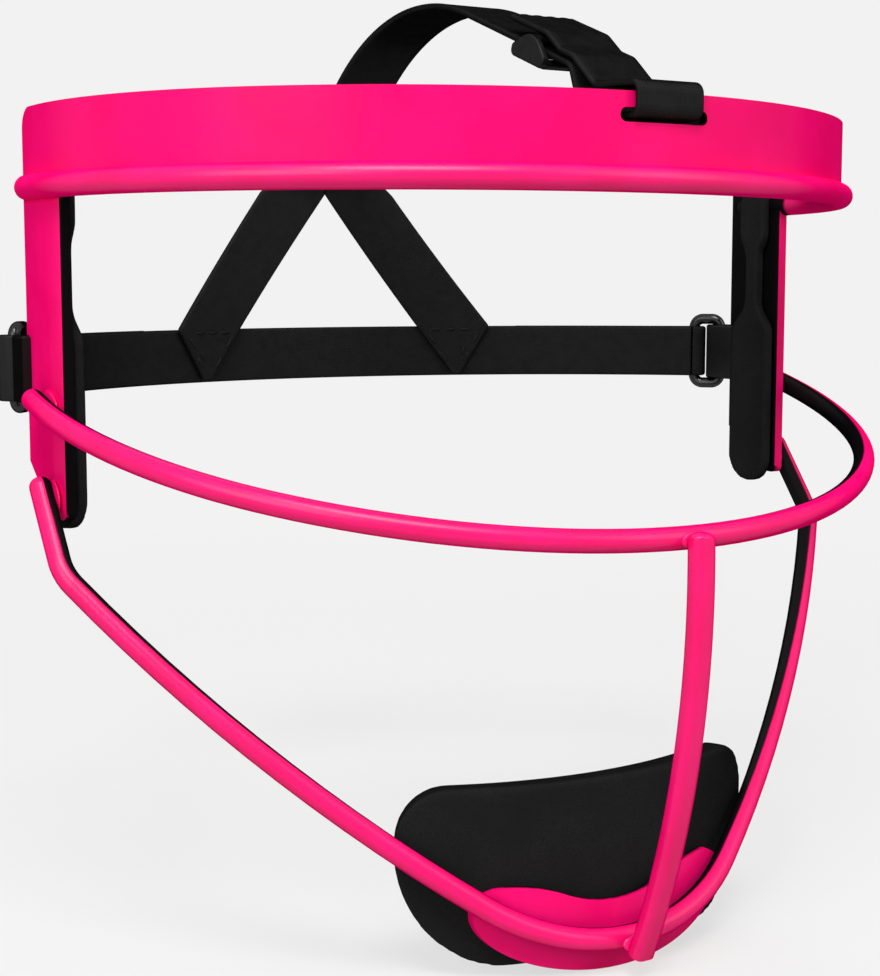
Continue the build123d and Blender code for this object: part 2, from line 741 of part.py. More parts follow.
# Straps of the V that leave a gap for a ponytail, on the inner side of the back strap
with BuildPart() as v_strap_left:
    leg_shift = webbing_thickness + ply_gap
    leg_line_y = back_strap_reach - leg_shift
    leg_knee_z = top_strap_knee_z - leg_shift * tan(radians(90) / 2 - rise / 2)
    leg_foot_z = leg_foot_inset - back_strap_width / 2
    with BuildSketch(Plane.YZ):
        with BuildLine() as leg_line:
            FilletPolyline(
                (leg_line_y, leg_foot_z),
                (leg_line_y, leg_knee_z),
                (leg_line_y - leg_width * cos(rise), leg_knee_z + leg_width * sin(rise)),
                radius=top_strap_knee_radius - leg_shift,
            )
            offset(amount=half_ply, side=Side.BOTH)
        make_face()
    revolve(axis=Axis((0, strap_axis_y, 0), (0, 0, -1)), revolution_arc=90 - leg_lean)
    leg_level_width = leg_width / cos(radians(leg_lean))
    leg_foot_x = (leg_apex_z - leg_foot_z) * tan(radians(leg_lean))
    leg_top_z = leg_apex_z + leg_width * sin(rise)
    with BuildSketch(Plane.XZ):
        with BuildLine():
            Polyline(
                (leg_seam_gap / 2, leg_apex_z),
                (leg_foot_x, leg_foot_z),
                (leg_foot_x + leg_level_width, leg_foot_z),
                (leg_level_width, leg_apex_z),
                (top_strap_width / 2, leg_top_z),
                (leg_seam_gap / 2, leg_top_z),
                close=True,
            )
        make_face()
    extrude(amount=-back_strap_reach - cut_overrun, mode=Mode.INTERSECT)

with BuildPart() as v_strap_right:
    mirror(v_strap_left.part, about=Plane.YZ)

# Adjuster slide that locks the free end of the top strap on the strap itself
slide_plane = Plane((0, *on_slide(0, 0)), x_dir=(0, cos(fall), sin(fall)), z_dir=(1, 0, 0))
slide_half_gap = top_strap_width / 2 + slide_side_fit
lower_bar_height = -half_ply - slide_bar_fit - bar_radius
with BuildPart() as adjuster_slide:
    wall_bottom = lower_bar_height - bar_radius - slide_rim
    wall_top = bar_height + bar_radius + slide_rim
    with BuildSketch(slide_plane.offset(slide_half_gap)):
        with Locations((0, (wall_top + wall_bottom) / 2)):
            RectangleRounded(slide_length, wall_top - wall_bottom, slide_corner)
    extrude(amount=slide_wall)
    mirror(about=Plane.YZ)
    with BuildSketch(slide_plane):
        end_bar_place = slide_length / 2 - bar_radius - slide_rim
        with Locations(
            (0, bar_height), (-end_bar_place, lower_bar_height), (end_bar_place, lower_bar_height)
        ):
            Circle(bar_radius)
    extrude(amount=slide_half_gap + slide_wall / 2, both=True)

pieces = {
    "brow_band": brow_band,
    "brow_bead": brow_bead,
    "side_plate_left": side_plate_left,
    "side_plate_right": side_plate_right,
    "eye_bar": eye_bar,
    "lower_bar": lower_bar,
    "centre_bar": centre_bar,
    "chin_plate": chin_plate,
    "forehead_pad": forehead_pad,
    "forehead_tape": forehead_tape,
    "side_pad_left": side_pad_left,
    "side_pad_right": side_pad_right,
    "side_tape_left": side_tape_left,
    "side_tape_right": side_tape_right,
    "chin_pad": chin_pad,
    "chin_tape": chin_tape,
    "side_clip_left": side_clip_left,
    "side_clip_right": side_clip_right,
    "ring_left": ring_left,
    "ring_right": ring_right,
    "back_strap": back_strap,
    "strap_tail_left": strap_tail_left,
    "strap_tail_right": strap_tail_right,
    "tail_tape_left": tail_tape_left,
    "tail_tape_right": tail_tape_right,
    "v_strap_left": v_strap_left,
    "v_strap_right": v_strap_right,
    "top_strap": top_strap,
    "adjuster_slide": adjuster_slide,
}

os.makedirs("parts", exist_ok=True)
for name, piece in pieces.items():
    piece.part.label = name
    export_step(piece.part, f"parts/{name}.step")
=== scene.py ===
"""Looks of the softball face guard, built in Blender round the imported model.

X points to the wearer's left, Y to the back of the head and Z up. Sizes are in millimetres and
turned into metres where a mesh is made.
"""
from math import asin, atan, atan2, cos, degrees, pi, radians, sin, sqrt, tan

import bmesh
import bpy
import numpy as np
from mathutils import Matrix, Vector, noise


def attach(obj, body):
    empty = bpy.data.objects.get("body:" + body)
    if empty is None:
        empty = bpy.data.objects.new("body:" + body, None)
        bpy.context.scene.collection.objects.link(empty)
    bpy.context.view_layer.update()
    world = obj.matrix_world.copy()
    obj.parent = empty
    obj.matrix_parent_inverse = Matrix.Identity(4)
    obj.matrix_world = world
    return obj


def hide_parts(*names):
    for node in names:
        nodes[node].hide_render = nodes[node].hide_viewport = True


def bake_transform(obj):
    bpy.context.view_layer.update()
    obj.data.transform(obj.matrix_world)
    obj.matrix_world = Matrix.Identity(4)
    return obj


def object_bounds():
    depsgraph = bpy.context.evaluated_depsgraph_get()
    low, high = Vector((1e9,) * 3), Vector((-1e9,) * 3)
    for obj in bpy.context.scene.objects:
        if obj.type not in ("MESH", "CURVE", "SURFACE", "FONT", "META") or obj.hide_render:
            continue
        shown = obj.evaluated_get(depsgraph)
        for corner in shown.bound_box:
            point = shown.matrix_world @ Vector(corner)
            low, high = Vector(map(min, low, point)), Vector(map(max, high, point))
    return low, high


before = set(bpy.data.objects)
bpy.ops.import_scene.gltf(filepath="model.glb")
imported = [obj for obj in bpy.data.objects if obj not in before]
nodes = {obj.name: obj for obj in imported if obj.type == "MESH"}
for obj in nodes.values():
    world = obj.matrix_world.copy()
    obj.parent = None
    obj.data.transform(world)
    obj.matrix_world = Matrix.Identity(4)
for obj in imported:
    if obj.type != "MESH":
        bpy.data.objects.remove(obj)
cad_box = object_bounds()

MM = 0.001

# Values repeated from the part's source
FRAME_HALF_WIDTH = 84.5
SHEET = 2.0
ROD_RADIUS = 2.05
BAND_REACH = 69.0
BAND_TANGENT_Y = 6.0
BAND_REAR_Y = 12.5
BEAD_Z = 33.1
BEAD_RADIUS = 2.3
SHOULDER_TURN = 45.0
LAYER_GAP = 0.05
TAPE = 0.45
PLY = 1.3
HALF_PLY = PLY / 2
PLY_GAP = 0.1
STRAP_WIDTH = 11.6
STRAP_REACH = 58.3
LEG_WIDTH = 13.4
TOP_WIDTH = 14.0
UPRIGHT = np.array([0.0, 0.0, 1.0])
SIDEWAYS = np.array([1.0, 0.0, 0.0])


# Materials


def linear(text):
    """Linear colour from a hex string."""
    parts = [int(text[k : k + 2], 16) / 255 for k in (0, 2, 4)]
    values = [p / 12.92 if p <= 0.04045 else ((p + 0.055) / 1.055) ** 2.4 for p in parts]
    return (*values, 1.0)


class Look:
    """A material's node graph, with short calls for the nodes that it needs."""

    def __init__(self, name, roughness):
        self.material = bpy.data.materials.new(name)
        self.material.use_nodes = True
        self.tree = self.material.node_tree
        self.shader = self.tree.nodes["Principled BSDF"]
        self.shader.inputs["Roughness"].default_value = roughness

    def add(self, kind, **settings):
        node = self.tree.nodes.new("ShaderNode" + kind)
        for key, value in settings.items():
            setattr(node, key, value)
        return node

    def join(self, start, end):
        self.tree.links.new(start, end)

    def math(self, operation, first, second):
        node = self.add("Math", operation=operation)
        for place, value in enumerate((first, second)):
            if isinstance(value, (int, float)):
                node.inputs[place].default_value = value
            else:
                self.join(value, node.inputs[place])
        return node.outputs[0]

    def ramp(self, value, low, high, out_low=0.0, out_high=1.0):
        node = self.add("MapRange", interpolation_type="SMOOTHSTEP")
        self.join(value, node.inputs["Value"])
        for socket, number in zip(
            ("From Min", "From Max", "To Min", "To Max"), (low, high, out_low, out_high)
        ):
            node.inputs[socket].default_value = number
        return node.outputs[0]

    def mix(self, share, first, second):
        node = self.add("Mix", data_type="RGBA")
        self.join(share, node.inputs["Factor"])
        for socket, value in ((6, first), (7, second)):
            if isinstance(value, tuple):
                node.inputs[socket].default_value = value
            else:
                self.join(value, node.inputs[socket])
        return node.outputs[2]

    def noise(self, scale, detail=2.0):
        node = self.add("TexNoise")
        node.inputs["Scale"].default_value = scale
        node.inputs["Detail"].default_value = detail
        self.join(self.place(), node.inputs["Vector"])
        return node.outputs[0]

    def place(self):
        if not hasattr(self, "_place"):
            self._place = self.add("TexCoord").outputs["Object"]
        return self._place

    def bump(self, height, distance, strength=1.0, under=None):
        node = self.add("Bump")
        node.inputs["Strength"].default_value = strength
        node.inputs["Distance"].default_value = distance
        self.join(height, node.inputs["Height"])
        if under is not None:
            self.join(under, node.inputs["Normal"])
        return node.outputs[0]

    def shine(self, level, dulled=None):
        """Specular level that fades where the surface is seen edge on, so its colour stays deep."""
        edge_on = self.add("LayerWeight")
        edge_on.inputs["Blend"].default_value = 0.5
        fading = self.ramp(edge_on.outputs["Facing"], 0.25, 0.62, level, 0.0)
        if dulled is not None:
            fading = self.math("MULTIPLY", fading, self.ramp(dulled, 0.0, 1.0, 1.0, 0.2))
        self.join(fading, self.shader.inputs["Specular IOR Level"])

    def colour(self, socket):
        self.join(socket, self.shader.inputs["Base Color"])

    def rough(self, socket):
        self.join(socket, self.shader.inputs["Roughness"])

    def normal(self, socket):
        self.join(socket, self.shader.inputs["Normal"])


ROD_SHINE = 0.3
SHEET_SHINE = 0.09


def coat_base(name):
    """Satin pink powder coat: a slow shift of tone, a fine speckle and the peel of baked paint."""
    look = Look(name, 0.36)
    shade = look.ramp(look.noise(60.0, 3.0), 0.35, 0.65)
    pink = look.mix(shade, linear("f8076b"), linear("ff0e74"))
    speckle = look.ramp(look.noise(5200.0, 1.0), 0.62, 0.74, 0.0, 0.1)
    pink = look.mix(speckle, pink, linear("ff4d94"))
    peel = look.bump(look.noise(850.0, 1.5), 0.00004, 0.4)
    look.normal(look.bump(look.noise(4200.0, 1.0), 0.000012, 0.5, peel))
    return look, pink


def plain_coat():
    """The coat, pink all round."""
    look, pink = coat_base("powder_coat_plain")
    look.shine(ROD_SHINE)
    look.colour(pink)
    look.rough(look.ramp(look.noise(700.0, 2.0), 0.3, 0.7, 0.28, 0.36))
    return look.material


def powder_coat(name, start, end, shine=ROD_SHINE, behind=None):
    """The coat, pink outside and black on faces that look at the head.

    With a value for behind, in metres, only what lies behind that Y turns black; on the brow bead
    this black is painted shade.
    """
    look, pink = coat_base(name)
    geometry = look.add("NewGeometry")
    place = look.add("SeparateXYZ")
    look.join(look.place(), place.inputs[0])
    away = look.add("CombineXYZ")
    look.join(look.math("MULTIPLY", place.outputs["X"], -1.0), away.inputs["X"])
    look.join(look.math("MULTIPLY", place.outputs["Y"], -1.0), away.inputs["Y"])
    unit = look.add("VectorMath", operation="NORMALIZE")
    look.join(away.outputs[0], unit.inputs[0])
    facing = look.add("VectorMath", operation="DOT_PRODUCT")
    look.join(unit.outputs[0], facing.inputs[0])
    look.join(geometry.outputs["Normal"], facing.inputs[1])
    overspray = look.math("MULTIPLY", look.noise(420.0), 0.04)
    inner = look.ramp(look.math("ADD", facing.outputs["Value"], overspray), start, end)
    if behind is not None:
        inner = look.math("MULTIPLY", inner, look.ramp(place.outputs["Y"], behind - 0.0015, behind))
    look.shine(shine, inner)
    look.colour(look.mix(inner, pink, linear("0d0b0d")))
    look.rough(look.ramp(inner, 0.0, 1.0, 0.32, 0.55))
    return look.material


def foam():
    """Closed-cell foam with a fine skin."""
    look = Look("foam", 0.85)
    look.shine(0.1)
    cells = look.add("TexVoronoi", feature="DISTANCE_TO_EDGE")
    cells.inputs["Scale"].default_value = 2400.0
    look.join(look.place(), cells.inputs["Vector"])
    pores = look.ramp(cells.outputs["Distance"], 0.0, 0.22)
    shade = look.ramp(look.noise(90.0, 4.0), 0.3, 0.7)
    body = look.mix(shade, linear("1a1a1a"), linear("212121"))
    look.colour(look.mix(pores, linear("151515"), body))
    soft = look.bump(look.noise(260.0, 3.0), 0.00025, 0.5)
    look.normal(look.bump(pores, 0.00005, 0.5, soft))
    return look.material


def webbing(name, dark, pale):
    """Flat woven webbing. The weave follows the strap through its map, which is in metres."""
    look = Look(name, 0.75)
    look.shine(0.12)
    weave_map = look.add("UVMap", uv_map="weave")
    picks = look.add("TexBrick", offset=0.5, squash=1.0)
    for socket, value in (
        ("Scale", 1.0),
        ("Mortar Size", 0.0001),
        ("Mortar Smooth", 0.9),
        ("Bias", 0.0),
        ("Brick Width", 0.0009),
        ("Row Height", 0.00045),
    ):
        picks.inputs[socket].default_value = value
    picks.inputs["Color1"].default_value = (1, 1, 1, 1)
    picks.inputs["Color2"].default_value = (0.8, 0.8, 0.8, 1)
    look.join(weave_map.outputs[0], picks.inputs["Vector"])
    twist = look.add("TexWave", wave_type="BANDS", bands_direction="DIAGONAL")
    twist.inputs["Scale"].default_value = 1500.0
    look.join(weave_map.outputs[0], twist.inputs["Vector"])
    raised = look.math("SUBTRACT", 1.0, picks.outputs["Fac"])
    yarn = look.math("ADD", raised, look.math("MULTIPLY", twist.outputs["Fac"], 0.15))
    fuzz = look.noise(2600.0, 2.0)
    height = look.math("ADD", yarn, look.math("MULTIPLY", fuzz, 0.35))
    tone = look.ramp(look.math("MULTIPLY", yarn, look.noise(420.0, 3.0)), 0.1, 0.75)
    look.colour(look.mix(tone, linear(dark), linear(pale)))
    look.normal(look.bump(height, 0.00008, 0.5))
    return look.material


def moulded(name, colour, roughness):
    """Moulded plastic with a fine grain."""
    look = Look(name, roughness)
    look.shine(0.16)
    shade = look.ramp(look.noise(140.0, 3.0), 0.3, 0.7)
    base = linear(colour)
    look.colour(look.mix(shade, tuple(c * 0.8 for c in base[:3]) + (1.0,), base))
    look.rough(look.ramp(look.noise(700.0, 2.0), 0.3, 0.7, roughness - 0.06, roughness + 0.08))
    look.normal(look.bump(look.noise(2400.0, 2.0), 0.00004, 0.45))
    return look.material


def black_steel():
    """Black glossy paint on round wire."""
    look = Look("ring_steel", 0.22)
    look.shine(0.4)
    shade = look.ramp(look.noise(300.0, 3.0), 0.35, 0.65)
    look.colour(look.mix(shade, linear("070707"), linear("101010")))
    look.rough(look.ramp(look.noise(900.0, 2.0), 0.3, 0.7, 0.16, 0.26))
    look.normal(look.bump(look.noise(1300.0, 1.5), 0.00003, 0.4))
    return look.material


def hook_tape():
    """Hook-and-loop tape, a field of small loops."""
    look = Look("tape", 0.88)
    look.shine(0.1)
    loops = look.add("TexVoronoi", feature="F1")
    loops.inputs["Scale"].default_value = 1300.0
    look.join(look.place(), loops.inputs["Vector"])
    depth = look.ramp(loops.outputs["Distance"], 0.0, 0.6)
    look.colour(look.mix(depth, linear("232323"), linear("0c0c0c")))
    pile = look.bump(loops.outputs["Distance"], 0.0002, 0.7)
    look.normal(look.bump(look.noise(3000.0, 2.0), 0.00008, 0.5, pile))
    return look.material


def thread():
    """Bonded polyester thread."""
    look = Look("thread", 0.6)
    look.shine(0.12)
    ply = look.add("TexWave", wave_type="BANDS", bands_direction="DIAGONAL")
    ply.inputs["Scale"].default_value = 1100.0
    look.join(look.place(), ply.inputs["Vector"])
    look.colour(look.mix(ply.outputs["Fac"], linear("131313"), linear("1e1e1e")))
    look.normal(look.bump(ply.outputs["Fac"], 0.00006, 0.6))
    return look.material


COAT = powder_coat("powder_coat", -0.08, 0.14)
BAR_COAT = powder_coat("powder_coat_bar", 0.35, 0.6)
SHEET_COAT = powder_coat("powder_coat_sheet", -0.08, 0.14, SHEET_SHINE)
# Painted shade: the bead's inner faces turn black only behind Y = -6 mm, along the sides where
# shade falls by the pads
BEAD_PAINTED_SHADE_COAT = powder_coat("powder_coat_bead_painted_shade", -0.05, 0.2, behind=-0.006)
DARK_EDGE_COAT = powder_coat("powder_coat_dark_edge", -0.3, -0.12, SHEET_SHINE)
PLAIN_COAT = plain_coat()
FOAM = foam()
WEBBING = webbing("webbing", "0e0e0e", "191919")
PLASTIC = moulded("clip_plastic", "101010", 0.45)
STEEL = black_steel()
TAPE_LOOK = hook_tape()
THREAD = thread()


# Meshes


def new_piece(name, points, faces, material, uvs=None, caps=0):
    """Object from points in millimetres, its faces smooth but for as many last ones as caps."""
    mesh = bpy.data.meshes.new(name)
    mesh.from_pydata((np.asarray(points, float) * MM).tolist(), [], faces)
    if uvs is not None:
        layer = mesh.uv_layers.new(name="weave")
        corners = np.zeros(len(mesh.loops), int)
        mesh.loops.foreach_get("vertex_index", corners)
        layer.data.foreach_set("uv", (np.asarray(uvs, float)[corners] * MM).ravel())
    shell = bmesh.new()
    shell.from_mesh(mesh)
    bmesh.ops.recalc_face_normals(shell, faces=shell.faces)
    shell.to_mesh(mesh)
    shell.free()
    mesh.polygons.foreach_set("use_smooth", [True] * (len(faces) - caps) + [False] * caps)
    mesh.materials.append(material)
    piece = bpy.data.objects.new(name, mesh)
    bpy.context.scene.collection.objects.link(piece)
    return piece


def dress(piece, slot, body, *replaced):
    """Say which body a piece rides on and the CAD nodes that it stands for. The slot is not used.
    """
    if body:
        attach(piece, body)
    if replaced:
        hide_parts(*replaced)
    return piece


def round_edges(piece, width, angle):
    """Round the edges that are sharper than an angle in degrees."""
    edge = piece.modifiers.new("edge", "BEVEL")
    edge.limit_method = "ANGLE"
    edge.angle_limit = radians(angle)
    edge.width = width * MM
    edge.segments = 3
    edge.harden_normals = True


def unit(vectors):
    """Vectors of length one."""
    return vectors / np.linalg.norm(vectors, axis=-1, keepdims=True)


class Route:
    """Line through points in space, read by its length from the start."""

    def __init__(self, points):
        self.points = np.asarray(points, float)
        steps = np.linalg.norm(np.diff(self.points, axis=0), axis=1)
        self.marks = np.concatenate([[0.0], np.cumsum(steps)])
        self.length = self.marks[-1]

    def at(self, along):
        return np.stack([np.interp(along, self.marks, self.points[:, k]) for k in range(3)], -1)


def turtle(start, heading, moves, step=0.25):
    """Points of a flat path: each move is a radius and a turn in degrees, or None and a length."""
    points = [np.array(start, float)]
    angle = heading
    for radius, amount in moves:
        last = points[-1]
        if radius is None:
            count = max(1, int(amount / step))
            ahead = np.array([cos(angle), sin(angle)])
            points += [last + ahead * amount * k / count for k in range(1, count + 1)]
            continue
        turn = radians(amount)
        side = 1 if turn > 0 else -1
        count = max(3, int(radius * abs(turn) / step))
        centre = last + side * radius * np.array([-sin(angle), cos(angle)])
        for k in range(1, count + 1):
            now = angle + turn * k / count
            points.append(centre + side * radius * np.array([sin(now), -cos(now)]))
        angle += turn
    return points


def filleted(corners, radii, step=0.25):
    """Points of a flat polyline whose inner corners are rounded."""
    corners = [np.array(c, float) for c in corners]
    points = [corners[0]]
    for before, corner, after, radius in zip(corners, corners[1:], corners[2:], radii):
        to_before = unit(before - corner)
        to_after = unit(after - corner)
        half = np.arccos(np.clip(to_before @ to_after, -1, 1)) / 2
        centre = corner + unit(to_before + to_after) * radius / sin(half)
        first = corner + to_before * radius / tan(half) - centre
        last = corner + to_after * radius / tan(half) - centre
        turn = pi - 2 * half
        count = max(3, int(radius * turn / step))
        for k in range(count + 1):
            share = k / count
            mixed = first * sin((1 - share) * turn) + last * sin(share * turn)
            points.append(centre + mixed / sin(turn))
    return points + [corners[-1]]


# Thicker selvedge along both sides of a strip: a share of its thickness, its place and its width
SELVEDGE_RISE = 0.06
SELVEDGE_INSET = 1.1
SELVEDGE_WIDTH = 0.5


def strip_lines(length, rim, step, flat=(False, False)):
    """Grid lines along a length, close together where the rim is rounded."""
    near = [0.0] if flat[0] else [0.0, 0.08 * rim, 0.3 * rim, 0.65 * rim, rim]
    far = [length] if flat[1] else [length - s * rim for s in (1, 0.65, 0.3, 0.08, 0)]
    count = max(2, int((far[0] - near[-1]) / step))
    middle = np.linspace(near[-1], far[0], count + 1)[1:-1]
    return np.concatenate([near, middle, far])


def slab(
    name, place, length, width, half, material, steps=(0.5, 1.2), flat=(False, False), mapping=None
):
    """Flat flexible strip: place(along, across) gives its middle surface, and its rim is rounded.

    An end that is flat is cut square instead. Steps are the grid's along and across.
    """
    rim = half
    along = strip_lines(length, rim, steps[0], flat)
    across = strip_lines(width, rim, steps[1])
    u, v = np.meshgrid(along, across, indexing="ij")
    reach = 0.02
    du = place(np.minimum(u + reach, length), v) - place(np.maximum(u - reach, 0), v)
    dv = place(u, np.minimum(v + reach, width)) - place(u, np.maximum(v - reach, 0))
    normal = unit(np.cross(du, dv))
    inset = np.minimum(v, width - v)
    if not flat[0]:
        inset = np.minimum(inset, u)
    if not flat[1]:
        inset = np.minimum(inset, length - u)
    share = np.clip(inset / rim, 0, 1)
    height = half * np.sqrt(np.clip(1 - (1 - share) ** 2, 0, 1))
    beside = np.minimum(v, width - v)
    ridge = np.exp(-(((beside - SELVEDGE_INSET) / SELVEDGE_WIDTH) ** 2))
    height = height * (1 + SELVEDGE_RISE * ridge - SELVEDGE_RISE / 2)
    middle = place(u, v)
    top = (middle + normal * height[..., None]).reshape(-1, 3)
    bottom = (middle - normal * height[..., None]).reshape(-1, 3)
    rows, cols = u.shape
    top_index = np.arange(rows * cols).reshape(rows, cols)
    closed = (height < 1e-6).ravel()
    kept = ~closed
    renumber = np.cumsum(kept) - 1 + rows * cols
    bottom_index = np.where(closed, top_index.ravel(), renumber).reshape(rows, cols)
    points = np.concatenate([top, bottom[kept]])
    faces = []
    for index in (top_index, bottom_index):
        for i in range(rows - 1):
            for j in range(cols - 1):
                corners = (index[i, j], index[i + 1, j], index[i + 1, j + 1], index[i, j + 1])
                faces.append(corners)
    round_faces = len(faces)
    for row, is_flat in ((0, flat[0]), (rows - 1, flat[1])):
        if is_flat:
            for j in range(cols - 1):
                upper, lower = top_index[row, j : j + 2], bottom_index[row, j : j + 2]
                ring = (*upper, *lower[::-1])
                faces.append(tuple(dict.fromkeys(int(n) for n in ring)))
    weave = np.stack([u, v], -1) if mapping is None else mapping(u, v)
    weave = weave.reshape(-1, 2)
    uvs = np.concatenate([weave, weave[kept]])
    faces = [tuple(int(n) for n in face) for face in faces]
    return new_piece(name, points, faces, material, uvs, len(faces) - round_faces)


def strap_place(route, across, width):
    """Middle surface of a strap whose width lies along one direction."""
    return lambda u, v: route.at(u) + (v - width / 2)[..., None] * across


def strip(name, route, across, width, half, material, **settings):
    """Strip along a route, with the name, half thickness and material of a slab."""
    place = strap_place(route, across, width)
    return slab(name, place, route.length, width, half, material, **settings)


class Sewing:
    """Stitches gathered in one mesh."""

    def __init__(self):
        self.points = []
        self.faces = []

    def row(self, place, start, end, lift, stitch=2.2, pitch=2.9, radius=0.24):
        """Row of stitches between two points of a strap's surface, lifted off its middle."""
        start = np.array(start, float)
        end = np.array(end, float)
        length = np.linalg.norm(end - start)
        count = max(1, int(length / pitch))
        ahead = (end - start) / length
        for k in range(count):
            first = start + ahead * (k + 0.1) * length / count
            self.stitch(place, first, ahead * stitch, lift, radius)

    def rows(self, place, ends, lift, **settings):
        """Rows between pairs of points, each on one face of the strap and then on the other."""
        for start, end in ends:
            self.row(place, start, end, lift, **settings)
            self.row(place, start, end, -lift, **settings)

    def stitch(self, place, start, span, lift, radius):
        """One stitch: a thread that rises out of the cloth and dips back into it."""
        sides, rings = 6, 7
        base = len(self.points)
        side = 1 if lift > 0 else -1
        reach = 0.05
        for ring in range(rings):
            share = ring / (rings - 1)
            u, v = start + span * share
            here = place(np.array(u), np.array(v))
            du = place(np.array(u + reach), np.array(v)) - place(np.array(u - reach), np.array(v))
            dv = place(np.array(u), np.array(v + reach)) - place(np.array(u), np.array(v - reach))
            normal = unit(np.cross(du, dv))
            ahead = unit(span[0] * du + span[1] * dv)
            beside = np.cross(normal, ahead)
            rise = lift + side * (radius * 1.1 * sin(pi * share) ** 0.7 - radius * 0.7)
            for k in range(sides):
                turn = 2 * pi * k / sides
                around = radius * (cos(turn) * beside * 1.15 + sin(turn) * normal)
                self.points.append(here + normal * rise + around)
        for ring in range(rings - 1):
            for k in range(sides):
                a = base + ring * sides + k
                b = base + ring * sides + (k + 1) % sides
                self.faces.append((a, b, b + sides, a + sides))
        self.faces.append(tuple(base + k for k in range(sides)))
        self.faces.append(tuple(base + (rings - 1) * sides + k for k in range(sides)))

    def piece(self, name):
        return new_piece(name, self.points, self.faces, THREAD)


# Plan of the brow band's outer face


def bow_radii(half_width, depth, turn):
    """Front and side radius of a bow that turns from square across to straight back."""
    across = cos(radians(turn)) * half_width - (1 - sin(radians(turn))) * depth
    along = sin(radians(turn)) * depth - (1 - cos(radians(turn))) * half_width
    share = sin(radians(turn)) + cos(radians(turn)) - 1
    return across / share, along / share


class Bow:
    """One side of a bow, read by its length from the middle of the front."""

    def __init__(self, front, radii, turns, end_y, step=0.5):
        rows = [(0.0, -front, 0.0)]
        x, y, first = 0.0, radii[0] - front, 0.0
        for place, (radius, last) in enumerate(zip(radii, turns)):
            if place > 0:
                change = radius - radii[place - 1]
                x -= change * sin(radians(first))
                y += change * cos(radians(first))
            count = max(4, int(radius * radians(last - first) / step))
            for k in range(1, count + 1):
                turn = radians(first + (last - first) * k / count)
                rows.append((x + radius * sin(turn), y - radius * cos(turn), turn))
            first = last
        rows.append((rows[-1][0], end_y, rows[-1][2]))
        self.rows = np.array(rows)
        steps = np.hypot(*np.diff(self.rows[:, :2], axis=0).T)
        self.marks = np.concatenate([[0.0], np.cumsum(steps)])

    def at(self, along, outset=0.0):
        """Point at a length from the middle, negative on the wearer's right, set outwards."""
        side = np.where(along < 0, -1.0, 1.0)
        distance = np.abs(along)
        x, y, turn = (np.interp(distance, self.marks, self.rows[:, k]) for k in range(3))
        beyond = np.maximum(distance - self.marks[-1], 0)
        x, y = x + outset * np.sin(turn), y - outset * np.cos(turn) + beyond
        return side * x, y

    def mark_at_x(self, x, outset):
        """Length at which the set-out line reaches an X."""
        xs = self.rows[:, 0] + outset * np.sin(self.rows[:, 2])
        return float(np.interp(x, xs, self.marks))

    def mark_at_y(self, y):
        """Length at which the line reaches a Y."""
        return float(np.interp(y, self.rows[:, 1], self.marks)) + max(0.0, y - self.rows[-1][1])


BAND = Bow(
    BAND_REACH,
    bow_radii(FRAME_HALF_WIDTH, BAND_REACH + BAND_TANGENT_Y, SHOULDER_TURN),
    (SHOULDER_TURN, 90.0),
    BAND_REAR_Y,
)


# Foam pads


def rounded_outline(corners, radii, step=0.5):
    """Closed outline with each corner rounded by its own radius."""
    corners = [np.array(c, float) for c in corners]
    points = []
    count = len(corners)
    for k in range(count):
        before, corner, after = corners[k - 1], corners[k], corners[(k + 1) % count]
        arc = filleted([before, corner, after], [radii[k]], step)[1:-1]
        points += arc
    return points


LUMP_SCALE = 0.22


def foam_pad(name, outline, thickness, bend, voxel, soften, crown=0.0, lumps=0.05):
    """Foam pad: an outline in (along, up) is given thickness, softened at its rim and bent."""
    block = bmesh.new()
    near = [block.verts.new((s, 0.0, z)) for s, z in outline]
    far = [block.verts.new((s, thickness, z)) for s, z in outline]
    block.faces.new(near)
    block.faces.new(list(reversed(far)))
    count = len(outline)
    for k in range(count):
        block.faces.new((near[k], far[k], far[(k + 1) % count], near[(k + 1) % count]))
    bmesh.ops.recalc_face_normals(block, faces=block.faces)
    mesh = bpy.data.meshes.new(name + "_block")
    block.to_mesh(mesh)
    block.free()
    holder = bpy.data.objects.new(name + "_block", mesh)
    bpy.context.scene.collection.objects.link(holder)
    remesh = holder.modifiers.new("grain", "REMESH")
    remesh.mode = "VOXEL"
    remesh.voxel_size = voxel
    smooth = holder.modifiers.new("soften", "SMOOTH")
    smooth.factor = 0.5
    smooth.iterations = soften
    depsgraph = bpy.context.evaluated_depsgraph_get()
    soft = holder.evaluated_get(depsgraph).to_mesh()
    points = np.array([v.co for v in soft.vertices], float).reshape(-1, 3)
    faces = [tuple(p.vertices) for p in soft.polygons]
    holder.evaluated_get(depsgraph).to_mesh_clear()
    bpy.data.objects.remove(holder)
    low, high = points.min(0), points.max(0)
    points[:, 1] = (points[:, 1] - low[1]) * thickness / (high[1] - low[1])
    across = np.clip((2 * points[:, 0] - low[0] - high[0]) / (high[0] - low[0]), -1, 1)
    upward = np.clip((2 * points[:, 2] - low[2] - high[2]) / (high[2] - low[2]), -1, 1)
    swell = crown * (1 - across**6) * (1 - upward**2) * points[:, 1] / thickness
    grain = [noise.noise(Vector(p) * LUMP_SCALE) for p in points]
    points[:, 1] += swell + lumps * np.array(grain) * np.clip(points[:, 1] / thickness, 0, 1)
    bent = bend(points[:, 0], points[:, 1], points[:, 2])
    return new_piece(name, bent, faces, FOAM)


def bow_bend(outset):
    """Bend a pad on to the band: along, depth towards the head and height to a point."""

    def bend(along, depth, up):
        x, y = BAND.at(along, outset - depth)
        return np.stack([x, y, up], -1)

    return bend


